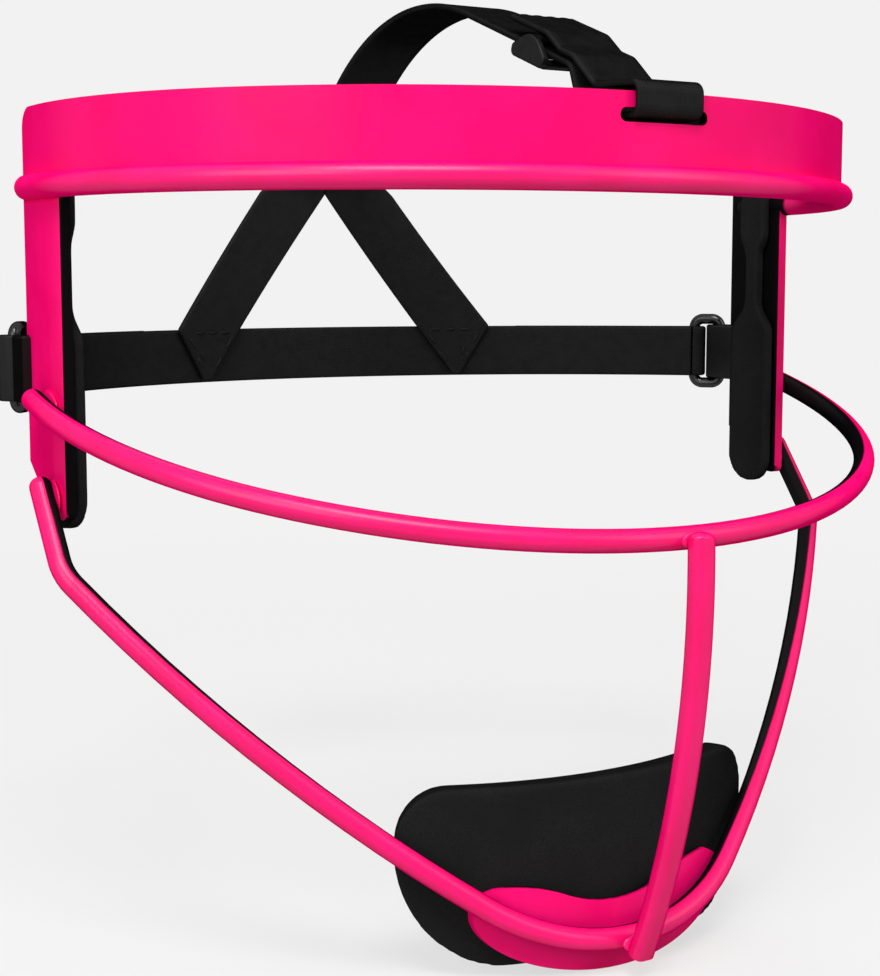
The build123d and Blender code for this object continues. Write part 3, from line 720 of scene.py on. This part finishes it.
PAD_OUTSET = -SHEET - LAYER_GAP - TAPE - LAYER_GAP
FOREHEAD_TOP_Z = 46.0
FOREHEAD_BOTTOM_Z = 33.4
NOTCH_HALF = 11.65
NOTCH_FLOOR_Z = 40.6
NOTCH_CORNER = 1.6
FOREHEAD_THICKNESS = 8.0
FOREHEAD_HALF_WIDTH = 72.0
FOREHEAD_CORNER = 6.0

forehead_half = BAND.mark_at_x(FOREHEAD_HALF_WIDTH, PAD_OUTSET - FOREHEAD_THICKNESS / 2)
forehead_outline = rounded_outline(
    [
        (-forehead_half, FOREHEAD_TOP_Z),
        (-forehead_half, FOREHEAD_BOTTOM_Z),
        (forehead_half, FOREHEAD_BOTTOM_Z),
        (forehead_half, FOREHEAD_TOP_Z),
        (NOTCH_HALF, FOREHEAD_TOP_Z),
        (NOTCH_HALF, NOTCH_FLOOR_Z),
        (-NOTCH_HALF, NOTCH_FLOOR_Z),
        (-NOTCH_HALF, FOREHEAD_TOP_Z),
    ],
    [FOREHEAD_CORNER] * 4 + [NOTCH_CORNER] * 4,
)
forehead_foam = foam_pad(
    "forehead_foam",
    forehead_outline,
    FOREHEAD_THICKNESS,
    bow_bend(PAD_OUTSET),
    voxel=0.8,
    soften=5,
    crown=0.5,
)
dress(forehead_foam, "foam", "guard", "forehead_pad")

SIDE_MIDDLE_Y = 2.5
SIDE_THICKNESS = 2.1
# Half width and height of the lobe, the neck and the foot of the hourglass, and its corner radii
SIDE_HALF_OUTLINE = [(4.4, 37.5), (4.4, 26.0), (2.2, 22.5), (2.2, 10.5), (6.9, 6.0), (6.9, -28.8)]
SIDE_RADII = [4.3, 5.0, 5.0, 5.0, 5.0, 6.5]
for side, sign in (("left", 1), ("right", -1)):
    rear = [(SIDE_MIDDLE_Y + y, z) for y, z in SIDE_HALF_OUTLINE]
    front = [(SIDE_MIDDLE_Y - y, z) for y, z in reversed(SIDE_HALF_OUTLINE)]
    outline = rounded_outline(rear + front, SIDE_RADII + SIDE_RADII[::-1], step=0.4)
    outline = [(sign * BAND.mark_at_y(y), z) for y, z in outline]
    pad = foam_pad(
        "side_foam_" + side,
        outline,
        SIDE_THICKNESS,
        bow_bend(PAD_OUTSET),
        voxel=0.4,
        soften=4,
        lumps=0.03,
    )
    dress(pad, "foam", "guard", "side_pad_" + side)

CHIN_RADIUS = 77.0
CHIN_FRONT_Y = -55.6
CHIN_THICKNESS = 5.0
CHIN_HALF = 39.3
CHIN_TOP_Z = -72.8
CHIN_BOTTOM_Z = -105.8
CHIN_TOP_CORNER = 10.0
CHIN_BOTTOM_CORNER = 22.0


def chin_bend(along, depth, up):
    """Bend a pad to the chin's curve."""
    turn = along / CHIN_RADIUS
    reach = CHIN_RADIUS - depth
    y = CHIN_FRONT_Y + CHIN_RADIUS - reach * np.cos(turn)
    return np.stack([reach * np.sin(turn), y, up], -1)


chin_half = CHIN_RADIUS * asin(CHIN_HALF / CHIN_RADIUS)
chin_outline = rounded_outline(
    [
        (-chin_half, CHIN_TOP_Z),
        (-chin_half, CHIN_BOTTOM_Z),
        (chin_half, CHIN_BOTTOM_Z),
        (chin_half, CHIN_TOP_Z),
    ],
    [CHIN_TOP_CORNER, CHIN_BOTTOM_CORNER, CHIN_BOTTOM_CORNER, CHIN_TOP_CORNER],
)
chin_foam = foam_pad(
    "chin_foam", chin_outline, CHIN_THICKNESS, chin_bend, voxel=0.65, soften=7, crown=0.6
)
dress(chin_foam, "foam", "guard", "chin_pad")


# Hook-and-loop tapes behind the pads


def bow_patch(outset, low_mark, low_z):
    """Middle surface of a tape that lies on the band's inner side."""

    def place(u, v):
        x, y = BAND.at(low_mark + u, outset)
        return np.stack([x, y, low_z + v + 0 * u], -1)

    return place


TAPE_OUTSET = -SHEET - LAYER_GAP
FOREHEAD_TAPE_HALF_WIDTH = 69.0
SIDE_TAPE_HALF_WIDTH = 1.45
SIDE_TAPE_BOTTOM_Z = -23.5
SIDE_TAPE_HEIGHT = 51.3
tape_half = BAND.mark_at_x(FOREHEAD_TAPE_HALF_WIDTH, TAPE_OUTSET)
tape_foot = BEAD_Z + BEAD_RADIUS
piece = slab(
    "forehead_hook_tape",
    bow_patch(TAPE_OUTSET - TAPE / 2, -tape_half, tape_foot),
    2 * tape_half,
    NOTCH_FLOOR_Z - tape_foot,
    TAPE / 2,
    TAPE_LOOK,
    steps=(1.5, 1.2),
)
dress(piece, "tape", "guard", "forehead_tape")
for side, sign in (("left", 1), ("right", -1)):
    low_mark, high_mark = (
        BAND.mark_at_y(SIDE_MIDDLE_Y + y) for y in (-SIDE_TAPE_HALF_WIDTH, SIDE_TAPE_HALF_WIDTH)
    )
    start = low_mark if sign > 0 else -high_mark
    piece = slab(
        "side_hook_tape_" + side,
        bow_patch(TAPE_OUTSET - TAPE / 2, start, SIDE_TAPE_BOTTOM_Z),
        high_mark - low_mark,
        SIDE_TAPE_HEIGHT,
        TAPE / 2,
        TAPE_LOOK,
        steps=(1.0, 1.5),
    )
    dress(piece, "tape", "guard", "side_tape_" + side)

CHIN_TAPE = 0.7
CHIN_TAPE_HALF_WIDTH = 13.0
CHIN_TAPE_BOTTOM_Z = -103.3
CHIN_TAPE_HEIGHT = 7.0


def chin_tape_place(u, v):
    """Middle surface of the chin pad's tape."""
    depth = -LAYER_GAP - CHIN_TAPE / 2 + 0 * u
    return chin_bend(u - CHIN_TAPE_HALF_WIDTH, depth, CHIN_TAPE_BOTTOM_Z + v)


piece = slab(
    "chin_hook_tape",
    chin_tape_place,
    2 * CHIN_TAPE_HALF_WIDTH,
    CHIN_TAPE_HEIGHT,
    CHIN_TAPE / 2,
    TAPE_LOOK,
    steps=(1.0, 1.0),
)
dress(piece, "tape", "guard", "chin_tape")


# Back strap and its tails. The strap is two pieces that meet under the left V strap's foot.

RING_PITCH = 6.1
WIRE_RADIUS = 1.2
STRAP_END_GAP = 0.35
FOLD_FIT = 0.15
BARREL_OUTSET = 0.4
BARREL_GAP = 3.4
BARREL_RADIUS = 3.2
BARREL_X = FRAME_HALF_WIDTH + BARREL_OUTSET
BARREL_Y = BAND_REAR_Y + BARREL_GAP + BARREL_RADIUS
fold_offset = WIRE_RADIUS + FOLD_FIT + HALF_PLY
fold_reach = STRAP_REACH + fold_offset
strap_axis_y = (fold_reach**2 + RING_PITCH**2 - BARREL_X**2 - BARREL_Y**2) / (
    2 * (fold_reach - BARREL_Y)
)
strap_radius = STRAP_REACH - strap_axis_y
ring_angle = atan2(BARREL_X, BARREL_Y - strap_axis_y) - atan(
    RING_PITCH / (strap_radius + fold_offset)
)
ring_outward = np.array([sin(ring_angle), cos(ring_angle)])
ring_rearward = np.array([-cos(ring_angle), sin(ring_angle)])
ring_leg = np.array([BARREL_X, BARREL_Y]) + ring_rearward * RING_PITCH


def space(points, sign):
    """Plan points in space at the strap's level, on the side of the face that the sign gives."""
    return [np.array([sign * p[0], p[1], 0.0]) for p in points]


def strap_arc(radius, turns, sign):
    """Points of an arc about the back strap's axis."""
    return space([(radius * sin(a), strap_axis_y + radius * cos(a)) for a in turns], sign)


half_length = strap_radius * ring_angle - STRAP_END_GAP
SEAM_LENGTH = 34.0
TAIL_LENGTH = 30.0
TAIL_SETTLE = 12.0
TAIL_LEAN_SHARE = 1.1
TAIL_TAPE = 0.7
TAIL_TAPE_LENGTH = 18.0
TAIL_TAPE_WIDTH = STRAP_WIDTH - 1.5
tail_radius = strap_radius + PLY + TAIL_TAPE + 2 * PLY_GAP
tail_drop = strap_radius + 2 * fold_offset - tail_radius
lean = asin(TAIL_LEAN_SHARE * sqrt(2 * tail_drop / strap_radius))
leaving = np.array([fold_offset * sin(lean), strap_radius + fold_offset * (1 + cos(lean))])
settle_from = leaving + np.array([sin(lean), cos(lean)]) * TAIL_SETTLE
closing = settle_from @ np.array([cos(lean), -sin(lean)])
settle_reach = tail_radius + TAIL_SETTLE
run_length = -closing - sqrt(closing**2 - settle_from @ settle_from + settle_reach**2)
settle_centre = settle_from + np.array([cos(lean), -sin(lean)]) * run_length
settled = atan2(settle_centre[0], settle_centre[1])
tail_start = ring_leg - ring_outward * fold_offset
tail_points = turtle(
    tail_start,
    atan2(-ring_rearward[1], -ring_rearward[0]),
    [
        (fold_offset, 180 + degrees(lean)),
        (None, run_length),
        (TAIL_SETTLE, degrees(settled - lean)),
        (tail_radius, degrees(TAIL_LENGTH / tail_radius)),
    ],
)
tape_radius = strap_radius + HALF_PLY + PLY_GAP + TAIL_TAPE / 2
tail_end_angle = ring_angle - settled - TAIL_LENGTH / tail_radius
tape_turn = TAIL_TAPE_LENGTH / tape_radius

for side, sign in (("left", 1), ("right", -1)):
    turns = np.linspace(sign * SEAM_LENGTH, half_length, 400) / strap_radius
    route = Route(strap_arc(strap_radius, turns, sign))
    name = "back_webbing_" + side
    strap = strip(name, route, UPRIGHT, STRAP_WIDTH, HALF_PLY, WEBBING, flat=(True, True))
    dress(strap, "webbing", None, "back_strap")
    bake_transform(strap)

    tail_route = Route(space(tail_points, sign))
    name = "tail_webbing_" + side
    settings = {"steps": (0.35, 1.2), "flat": (True, False)}
    tail = strip(name, tail_route, UPRIGHT, STRAP_WIDTH, HALF_PLY, WEBBING, **settings)
    dress(tail, "webbing", None, "strap_tail_" + side)
    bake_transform(tail)

    turns = np.linspace(tail_end_angle, tail_end_angle + tape_turn, 40)
    tape_route = Route(strap_arc(tape_radius, turns, sign))
    name = "tail_hook_tape_" + side
    section = (TAIL_TAPE_WIDTH, TAIL_TAPE / 2)
    tape_piece = strip(name, tape_route, UPRIGHT, *section, TAPE_LOOK, steps=(0.8, 1.2))
    dress(tape_piece, "tape", None, "tail_tape_" + side)
    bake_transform(tape_piece)


# V straps on the inner side of the back strap

LEG_LEAN = radians(37.0)
LEG_APEX_Z = 35.9
LEG_FOOT_INSET = 0.3
LEG_SEAM_HALF_GAP = 0.05
LEG_TIP_WIDTH = 1.4
LEG_CUT_Z = STRAP_WIDTH / 2
TOP_KNEE_Z = 39.1
TOP_KNEE_RADIUS = 7.0
TOP_PEAK_Y = 15.9
TOP_PEAK_Z = 78.3
TOP_FOOT_Z = 36.0
rise = atan2(TOP_PEAK_Z - TOP_KNEE_Z, STRAP_REACH - TOP_PEAK_Y)
leg_shift = PLY + PLY_GAP
leg_line_y = STRAP_REACH - leg_shift
leg_knee_z = TOP_KNEE_Z - leg_shift * tan(pi / 4 - rise / 2)
leg_foot_z = LEG_FOOT_INSET - STRAP_WIDTH / 2
leg_profile = np.array(
    filleted(
        [
            (leg_line_y, leg_foot_z),
            (leg_line_y, leg_knee_z),
            (leg_line_y - LEG_WIDTH * cos(rise), leg_knee_z + LEG_WIDTH * sin(rise)),
        ],
        [TOP_KNEE_RADIUS - leg_shift],
    )
)
leg_level = LEG_WIDTH / cos(LEG_LEAN)
leg_foot_x = (LEG_APEX_Z - leg_foot_z) * tan(LEG_LEAN)
leg_top_z = LEG_APEX_Z + LEG_WIDTH * sin(rise)
leg_height = leg_top_z - leg_foot_z


def leg_x(u, v):
    """Distance from the middle: the end is cut from the strap's top edge to the inner corner."""
    z = leg_foot_z + u
    inner = np.interp(
        z,
        [leg_foot_z, LEG_APEX_Z, leg_top_z],
        [leg_foot_x, LEG_SEAM_HALF_GAP, LEG_SEAM_HALF_GAP],
    )
    corner_x = leg_foot_x + leg_level - (LEG_CUT_Z - leg_foot_z) * tan(LEG_LEAN)
    outer = np.interp(
        z,
        [leg_foot_z, LEG_CUT_Z, LEG_APEX_Z, leg_top_z],
        [leg_foot_x + LEG_TIP_WIDTH, corner_x, leg_level, TOP_WIDTH / 2],
    )
    return inner + (outer - inner) * v / leg_level


def leg_place(sign):
    """Middle surface of a V strap: along is its height, across its level width."""

    def place(u, v):
        z = leg_foot_z + u
        x = leg_x(u, v)
        out = np.interp(z, leg_profile[:, 1], leg_profile[:, 0]) - strap_axis_y
        y = strap_axis_y + np.sqrt(out**2 - x**2)
        return np.stack([sign * x, y, z], -1)

    return place


def leg_map(u, v):
    """Map of the weave along a V strap, from its height and level width."""
    x = leg_x(u, v)
    along = u * cos(LEG_LEAN) - x * sin(LEG_LEAN)
    return np.stack([along, x * cos(LEG_LEAN) + u * sin(LEG_LEAN)], -1)


# Ends of the stitch rows at a V strap's foot, as height from the foot and level width
LEG_ROWS = (
    ((2.6, 14.2), (11.0, 14.9)),
    ((4.0, 11.4), (9.6, 12.9)),
    ((2.6, 2.2), (11.0, 1.4)),
    ((10.6, 2.6), (10.6, 13.6)),
)

leg_sewing = Sewing()
for side, sign in (("left", 1), ("right", -1)):
    place = leg_place(sign)
    name = "v_webbing_" + side
    settings = {"steps": (0.6, 1.2), "mapping": leg_map}
    piece = slab(name, place, leg_height, leg_level, HALF_PLY, WEBBING, **settings)
    dress(piece, "webbing", "guard", "v_strap_" + side)
    inward = HALF_PLY if sign < 0 else -HALF_PLY
    leg_sewing.rows(place, LEG_ROWS, inward)
stitching = leg_sewing.piece("v_stitching")
dress(stitching, "webbing", "guard")


# Top strap: crown, slide and the loop through the band

SLOT_Z = 43.6
SLIDE_Y = -40.0
SLIDE_TRAVEL = 8.0
SLIDE_LENGTH = 11.0
SLIDE_BAR_RADIUS = 0.9
LIFT_LENGTH = 5.0
FREE_END_LENGTH = 1.5
SLIDE_SIDE_FIT = 0.4
SLIDE_BAR_FIT = 0.2
LOOP_TURN_Y = -50.3
LOOP_DROP_Y = -54.0
LOOP_OVER_Z = 48.9
LOOP_SAG_Y = -57.5
LOOP_SAG_RISE = 0.5
LOOP_EDGE_GAP = 0.3
LOOP_JOIN_GAP = 0.3
CROWN_RADIUS = 55.0
SOFT_RADIUS = 3.0
EDGE_RADIUS = 1.5
fall = radians(20.5)


def fall_z(y):
    """Height of the top strap's straight front run."""
    return TOP_PEAK_Z - (TOP_PEAK_Y - y) * tan(fall)


def on_slide(along, height):
    """Point from the slide's middle, along and square to the strap."""
    return (
        SLIDE_Y + along * cos(fall) - height * sin(fall),
        fall_z(SLIDE_Y) + along * sin(fall) + height * cos(fall),
    )


bar_height = HALF_PLY + PLY_GAP + SLIDE_BAR_RADIUS
upper_height = bar_height + SLIDE_BAR_RADIUS + PLY_GAP + HALF_PLY
laid_height = PLY + LOOP_JOIN_GAP
loop_front_y = -BAND_REACH - LOOP_EDGE_GAP - HALF_PLY
lift_start = -SLIDE_LENGTH / 2 - PLY
free_start = SLIDE_TRAVEL + SLIDE_BAR_RADIUS + PLY_GAP
top_points = filleted(
    [
        (STRAP_REACH, TOP_FOOT_Z),
        (STRAP_REACH, TOP_KNEE_Z),
        (TOP_PEAK_Y, TOP_PEAK_Z),
        (LOOP_TURN_Y, fall_z(LOOP_TURN_Y)),
        (LOOP_DROP_Y, SLOT_Z),
        (loop_front_y, SLOT_Z),
        (loop_front_y, LOOP_OVER_Z),
        (LOOP_SAG_Y, LOOP_OVER_Z + LOOP_SAG_RISE),
        on_slide((LOOP_TURN_Y - SLIDE_Y) / cos(fall), laid_height),
        on_slide(lift_start, laid_height),
        on_slide(lift_start + LIFT_LENGTH, upper_height),
        on_slide(free_start + FREE_END_LENGTH, upper_height),
    ],
    [TOP_KNEE_RADIUS, CROWN_RADIUS] + [SOFT_RADIUS] * 2 + [EDGE_RADIUS] * 2 + [SOFT_RADIUS] * 4,
)
top_route = Route([np.array([0.0, y, z]) for y, z in top_points])
top_place = strap_place(top_route, SIDEWAYS, TOP_WIDTH)
piece = strip("top_webbing", top_route, SIDEWAYS, TOP_WIDTH, HALF_PLY, WEBBING, steps=(0.4, 1.2))
dress(piece, "webbing", "guard", "top_strap")

# Stitch rows that hold the V straps: a box with a cross in it, as length from the foot and width
TOP_ROWS = (
    ((1.5, 1.6), (1.5, 12.4)),
    ((12.0, 1.6), (12.0, 12.4)),
    ((2.0, 1.5), (11.6, 1.5)),
    ((2.0, 12.5), (11.6, 12.5)),
    ((2.2, 1.9), (11.4, 12.1)),
    ((11.4, 1.9), (2.2, 12.1)),
)
HEM_INSET = 0.9
HEM_SIDE_INSET = 1.2

top_sewing = Sewing()
top_sewing.rows(top_place, TOP_ROWS, HALF_PLY)
hem = top_route.length - HEM_INSET
hem_row = ((hem, HEM_SIDE_INSET), (hem, TOP_WIDTH - HEM_SIDE_INSET))
top_sewing.rows(top_place, [hem_row], HALF_PLY, radius=0.1)
dress(top_sewing.piece("top_stitching"), "webbing", "guard")


# Adjuster slide: two side plates with arched tops and three round bars between them

SLIDE_GAP = TOP_WIDTH / 2 + SLIDE_SIDE_FIT
SLIDE_WALL = 1.4
SLIDE_FOOT = -2.5
SLIDE_CROWN = 2.5
SLIDE_SHOULDER = -0.5
SLIDE_NOSE = 1.2


def plate_outline():
    """Outline of a side plate, along the strap and square to it."""
    half = SLIDE_LENGTH / 2
    arch = SLIDE_CROWN - SLIDE_SHOULDER
    top = [
        (along, SLIDE_SHOULDER + arch * cos(pi * along / SLIDE_LENGTH))
        for along in np.linspace(-half, half, 25)
    ]
    front, rear = (half, SLIDE_FOOT), (-half, SLIDE_FOOT)
    nose = []
    for corners in ((top[-1], front, rear), (front, rear, top[0])):
        nose += filleted(corners, [SLIDE_NOSE])[1:-1]
    return top + [tuple(p) for p in nose]


slide_points, slide_faces = [], []


def add_prism(sections):
    """Add a closed prism between two outlines with the same number of points."""
    base, count = len(slide_points), len(sections[0])
    for section in sections:
        slide_points.extend(section)
    slide_faces.append(tuple(range(base, base + count)))
    slide_faces.append(tuple(range(base + count, base + 2 * count)))
    for k in range(count):
        after = (k + 1) % count
        slide_faces.append((base + k, base + after, base + count + after, base + count + k))


for sign in (1, -1):
    faces_x = (sign * SLIDE_GAP, sign * (SLIDE_GAP + SLIDE_WALL))
    add_prism([[(x, *on_slide(*p)) for p in plate_outline()] for x in faces_x])
end_bar_along = SLIDE_LENGTH / 2 - SLIDE_NOSE
end_bar_height = -HALF_PLY - SLIDE_BAR_FIT - SLIDE_BAR_RADIUS
inner = SLIDE_GAP + SLIDE_WALL / 2
bar_turns = [2 * pi * k / 20 for k in range(20)]
for along, height in (
    (0.0, bar_height),
    (-end_bar_along, end_bar_height),
    (end_bar_along, end_bar_height),
):
    circle = [
        (along + SLIDE_BAR_RADIUS * cos(turn), height + SLIDE_BAR_RADIUS * sin(turn))
        for turn in bar_turns
    ]
    add_prism([[(x, *on_slide(*p)) for p in circle] for x in (-inner, inner)])
glide = new_piece("adjuster_glide", slide_points, slide_faces, PLASTIC)
round_edges(glide, 0.4, 50)
dress(glide, "clip_plastic", "adjuster", "adjuster_slide")


# Welds under the powder coat: flat blends where bars lap, and rounded ends on the centre bar

EYE_SLOPE = 0.27
EYE_MIDDLE_Z = -6.1
EYE_REACH = 76.5
LOWER_SLOPE = 1.3
LOWER_MIDDLE_Z = -21.2
LOWER_REACH = 61.4
BAR_WIDTH = 4.6
BAR_DEPTH = 3.6
BAR_OVERLAP = 0.25
BAR_TOP_LEAN = radians(-2.0)
BAR_BOTTOM_LEAN = radians(24.0)
bar_seat = ROD_RADIUS + BAR_DEPTH / 2 - BAR_OVERLAP
eye_front = np.array([0.0, -EYE_REACH, EYE_MIDDLE_Z - EYE_SLOPE * EYE_REACH])
lower_front = np.array([0.0, -LOWER_REACH, LOWER_MIDDLE_Z - LOWER_SLOPE * LOWER_REACH])


def puddle(centre, lean, radii):
    """Points and faces of an ellipsoid that leans about X."""
    rings, sides = 14, 28
    out = np.array([0.0, -cos(lean), sin(lean)])
    up = np.array([0.0, sin(lean), cos(lean)])
    points, faces = [], []
    for ring in range(rings + 1):
        polar = pi * (ring + 0.02) / (rings + 0.04)
        for k in range(sides):
            turn = 2 * pi * k / sides
            points.append(
                centre
                + radii[0] * sin(polar) * cos(turn) * SIDEWAYS
                + radii[1] * sin(polar) * sin(turn) * out
                + radii[2] * cos(polar) * up
            )
    for ring in range(rings):
        for k in range(sides):
            a, b = ring * sides + k, ring * sides + (k + 1) % sides
            faces.append((a, b, b + sides, a + sides))
    faces.append(tuple(range(sides)))
    faces.append(tuple(rings * sides + k for k in range(sides)))
    return points, faces


# Each weld's middle, its lean and its radii across, outwards and upwards
cap = (BAR_WIDTH / 2 - 0.03, BAR_DEPTH / 2 - 0.03, 1.0)
puddles = [
    (eye_front + (0, -bar_seat, 0.4), BAR_TOP_LEAN, cap),
    (eye_front + (0, -ROD_RADIUS + 0.1, -0.2), BAR_TOP_LEAN, (2.85, 0.8, 1.7)),
    (lower_front + (0, -bar_seat, -2.2), BAR_BOTTOM_LEAN, cap),
    (lower_front + (0, -ROD_RADIUS + 0.1, -0.6), BAR_BOTTOM_LEAN, (2.75, 0.8, 1.8)),
]
for side in (FRAME_HALF_WIDTH, -FRAME_HALF_WIDTH):
    for slope, middle_z, y, radii in (
        (EYE_SLOPE, EYE_MIDDLE_Z, 0.4, (0.5, 4.1, 2.5)),
        (LOWER_SLOPE, LOWER_MIDDLE_Z, -1.0, (0.5, 3.3, 2.5)),
    ):
        puddles.append((np.array([side, y, middle_z + slope * y]), -atan(slope), radii))
weld_points, weld_faces = [], []
for puddle_shape in puddles:
    more_points, more_faces = puddle(*puddle_shape)
    weld_faces += [tuple(n + len(weld_points) for n in face) for face in more_faces]
    weld_points += more_points
dress(new_piece("weld_blends", weld_points, weld_faces, PLAIN_COAT), "powder_coat", "guard")


# CAD nodes that stay: better materials, and rounded edges on what was cut from sheet or moulded

COATS = {
    "brow_band": SHEET_COAT,
    "brow_bead": BEAD_PAINTED_SHADE_COAT,
    "side_plate_left": SHEET_COAT,
    "side_plate_right": DARK_EDGE_COAT,
    "eye_bar": COAT,
    "lower_bar": COAT,
    "centre_bar": BAR_COAT,
    "chin_plate": SHEET_COAT,
}
EDGE_WIDTHS = (("side_plate_", 0.4), ("side_clip_", 0.3))
CHIN_PLATE_EDGE = 0.45
WELD_DISTANCE = 0.000002


def coat_node(name, material):
    """Give a CAD node its material."""
    node = nodes[name]
    node.data.materials.clear()
    node.data.materials.append(material)


for name, material in COATS.items():
    coat_node(name, material)
for side in ("left", "right"):
    coat_node("side_clip_" + side, PLASTIC)
    coat_node("ring_" + side, STEEL)
edges = [(name + side, width) for name, width in EDGE_WIDTHS for side in ("left", "right")]
for name, width in edges + [("chin_plate", CHIN_PLATE_EDGE)]:
    weld = nodes[name].modifiers.new("weld", "WELD")
    weld.merge_threshold = WELD_DISTANCE
    round_edges(nodes[name], width, 40)


# Studio

PAPER = linear("f2f2f2")
FLOOR_CORNERS = ((-8, -8), (8, -8), (8, 8), (-8, 8))
floor_z = cad_box[0][2]
mesh = bpy.data.meshes.new("floor")
mesh.from_pydata([(x, y, floor_z) for x, y in FLOOR_CORNERS], [], [(0, 1, 2, 3)])
floor = bpy.data.objects.new("floor", mesh)
bpy.context.scene.collection.objects.link(floor)


def seen(tree):
    """Share of rays that show the background: from the camera, off gloss or through glass."""
    path = tree.nodes.new("ShaderNodeLightPath")
    total = path.outputs["Is Camera Ray"]
    for ray in ("Is Glossy Ray", "Is Transmission Ray"):
        both = tree.nodes.new("ShaderNodeMath")
        both.operation = "ADD"
        both.use_clamp = True
        tree.links.new(total, both.inputs[0])
        tree.links.new(path.outputs[ray], both.inputs[1])
        total = both.outputs[0]
    return total


def mix_shaders(tree, share, first, second):
    """Shader that goes from the first to the second with the share."""
    blend = tree.nodes.new("ShaderNodeMixShader")
    for place, socket in enumerate((share, first, second)):
        tree.links.new(socket, blend.inputs[place])
    return blend.outputs[0]


# Floor: a pale sheet that keeps the shadow near the object, and a grey one to diffuse rays
paper = Look("floor", 0.9)
mottle = paper.ramp(paper.noise(3.0), 0.3, 0.7)
paper.colour(paper.mix(mottle, (0.84, 0.84, 0.84, 1), (0.86, 0.86, 0.86, 1)))
glow = paper.add("Emission")
glow.inputs["Color"].default_value = PAPER
distance = paper.add("VectorMath", operation="LENGTH")
paper.join(paper.place(), distance.inputs[0])
far = paper.ramp(distance.outputs["Value"], 0.12, 0.6, 0.72, 1.0)
matt = paper.add("BsdfDiffuse")
matt.inputs["Color"].default_value = (0.4, 0.4, 0.4, 1)
shown_share = seen(paper.tree)
ground = mix_shaders(paper.tree, shown_share, matt.outputs[0], paper.shader.outputs[0])
glow_share = paper.math("MULTIPLY", far, shown_share)
surface = mix_shaders(paper.tree, glow_share, ground, glow.outputs[0])
paper.join(surface, paper.tree.nodes["Material Output"].inputs["Surface"])
floor.data.materials.append(paper.material)

world = bpy.data.worlds.new("studio")
world.use_nodes = True
bpy.context.scene.world = world
sky = world.node_tree
plain = sky.nodes["Background"]
plain.inputs["Color"].default_value = (1, 1, 1, 1)
plain.inputs["Strength"].default_value = 0.2
shown = sky.nodes.new("ShaderNodeBackground")
shown.inputs["Color"].default_value = PAPER
shown.inputs["Strength"].default_value = 1.0
choice = mix_shaders(sky, seen(sky), plain.outputs[0], shown.outputs[0])
sky.links.new(choice, sky.nodes["World Output"].inputs["Surface"])


def lamp(name, place, target, size, power):
    """Soft rectangular lamp that looks at a point, its power in watts."""
    light = bpy.data.lights.new(name, "AREA")
    light.shape = "RECTANGLE"
    light.size, light.size_y = size
    light.energy = power
    holder = bpy.data.objects.new(name, light)
    holder.location = place
    holder.rotation_euler = (Vector(target) - Vector(place)).to_track_quat("-Z", "Y").to_euler()
    bpy.context.scene.collection.objects.link(holder)


lamp("key", (-0.35, -0.65, 1.05), (0, 0, 0.02), (0.6, 0.45), 12)
lamp("left", (-1.2, -0.7, 0.6), (0, 0, 0.02), (0.9, 0.9), 10.5)
lamp("right", (0.8, -1.1, 0.7), (0, 0, 0.02), (0.9, 0.9), 5.5)
lamp("rim", (0.3, 1.2, 1.0), (0, 0, 0), (1.2, 0.8), 5)

# Camera, fitted to the photo, in metres and in the photo's pixels
CAMERA_PLACE = (-0.18897, -0.31350, 0.01563)
CAMERA_TARGET = (0, 0.0054, -0.02634)
FOCAL_PIXELS = 1800
PICTURE_HEIGHT = 976
SENSOR = 36
camera_data = bpy.data.cameras.new("camera")
camera_data.sensor_width = SENSOR
camera_data.lens = FOCAL_PIXELS * SENSOR / PICTURE_HEIGHT
camera_data.clip_start = 0.01
camera = bpy.data.objects.new("camera", camera_data)
camera.location = CAMERA_PLACE
look_at = Vector(CAMERA_TARGET)
camera.rotation_euler = (look_at - camera.location).to_track_quat("-Z", "Y").to_euler()
bpy.context.scene.collection.objects.link(camera)
bpy.context.scene.camera = camera
bpy.context.scene.view_settings.view_transform = "Standard"

bpy.context.view_layer.update()
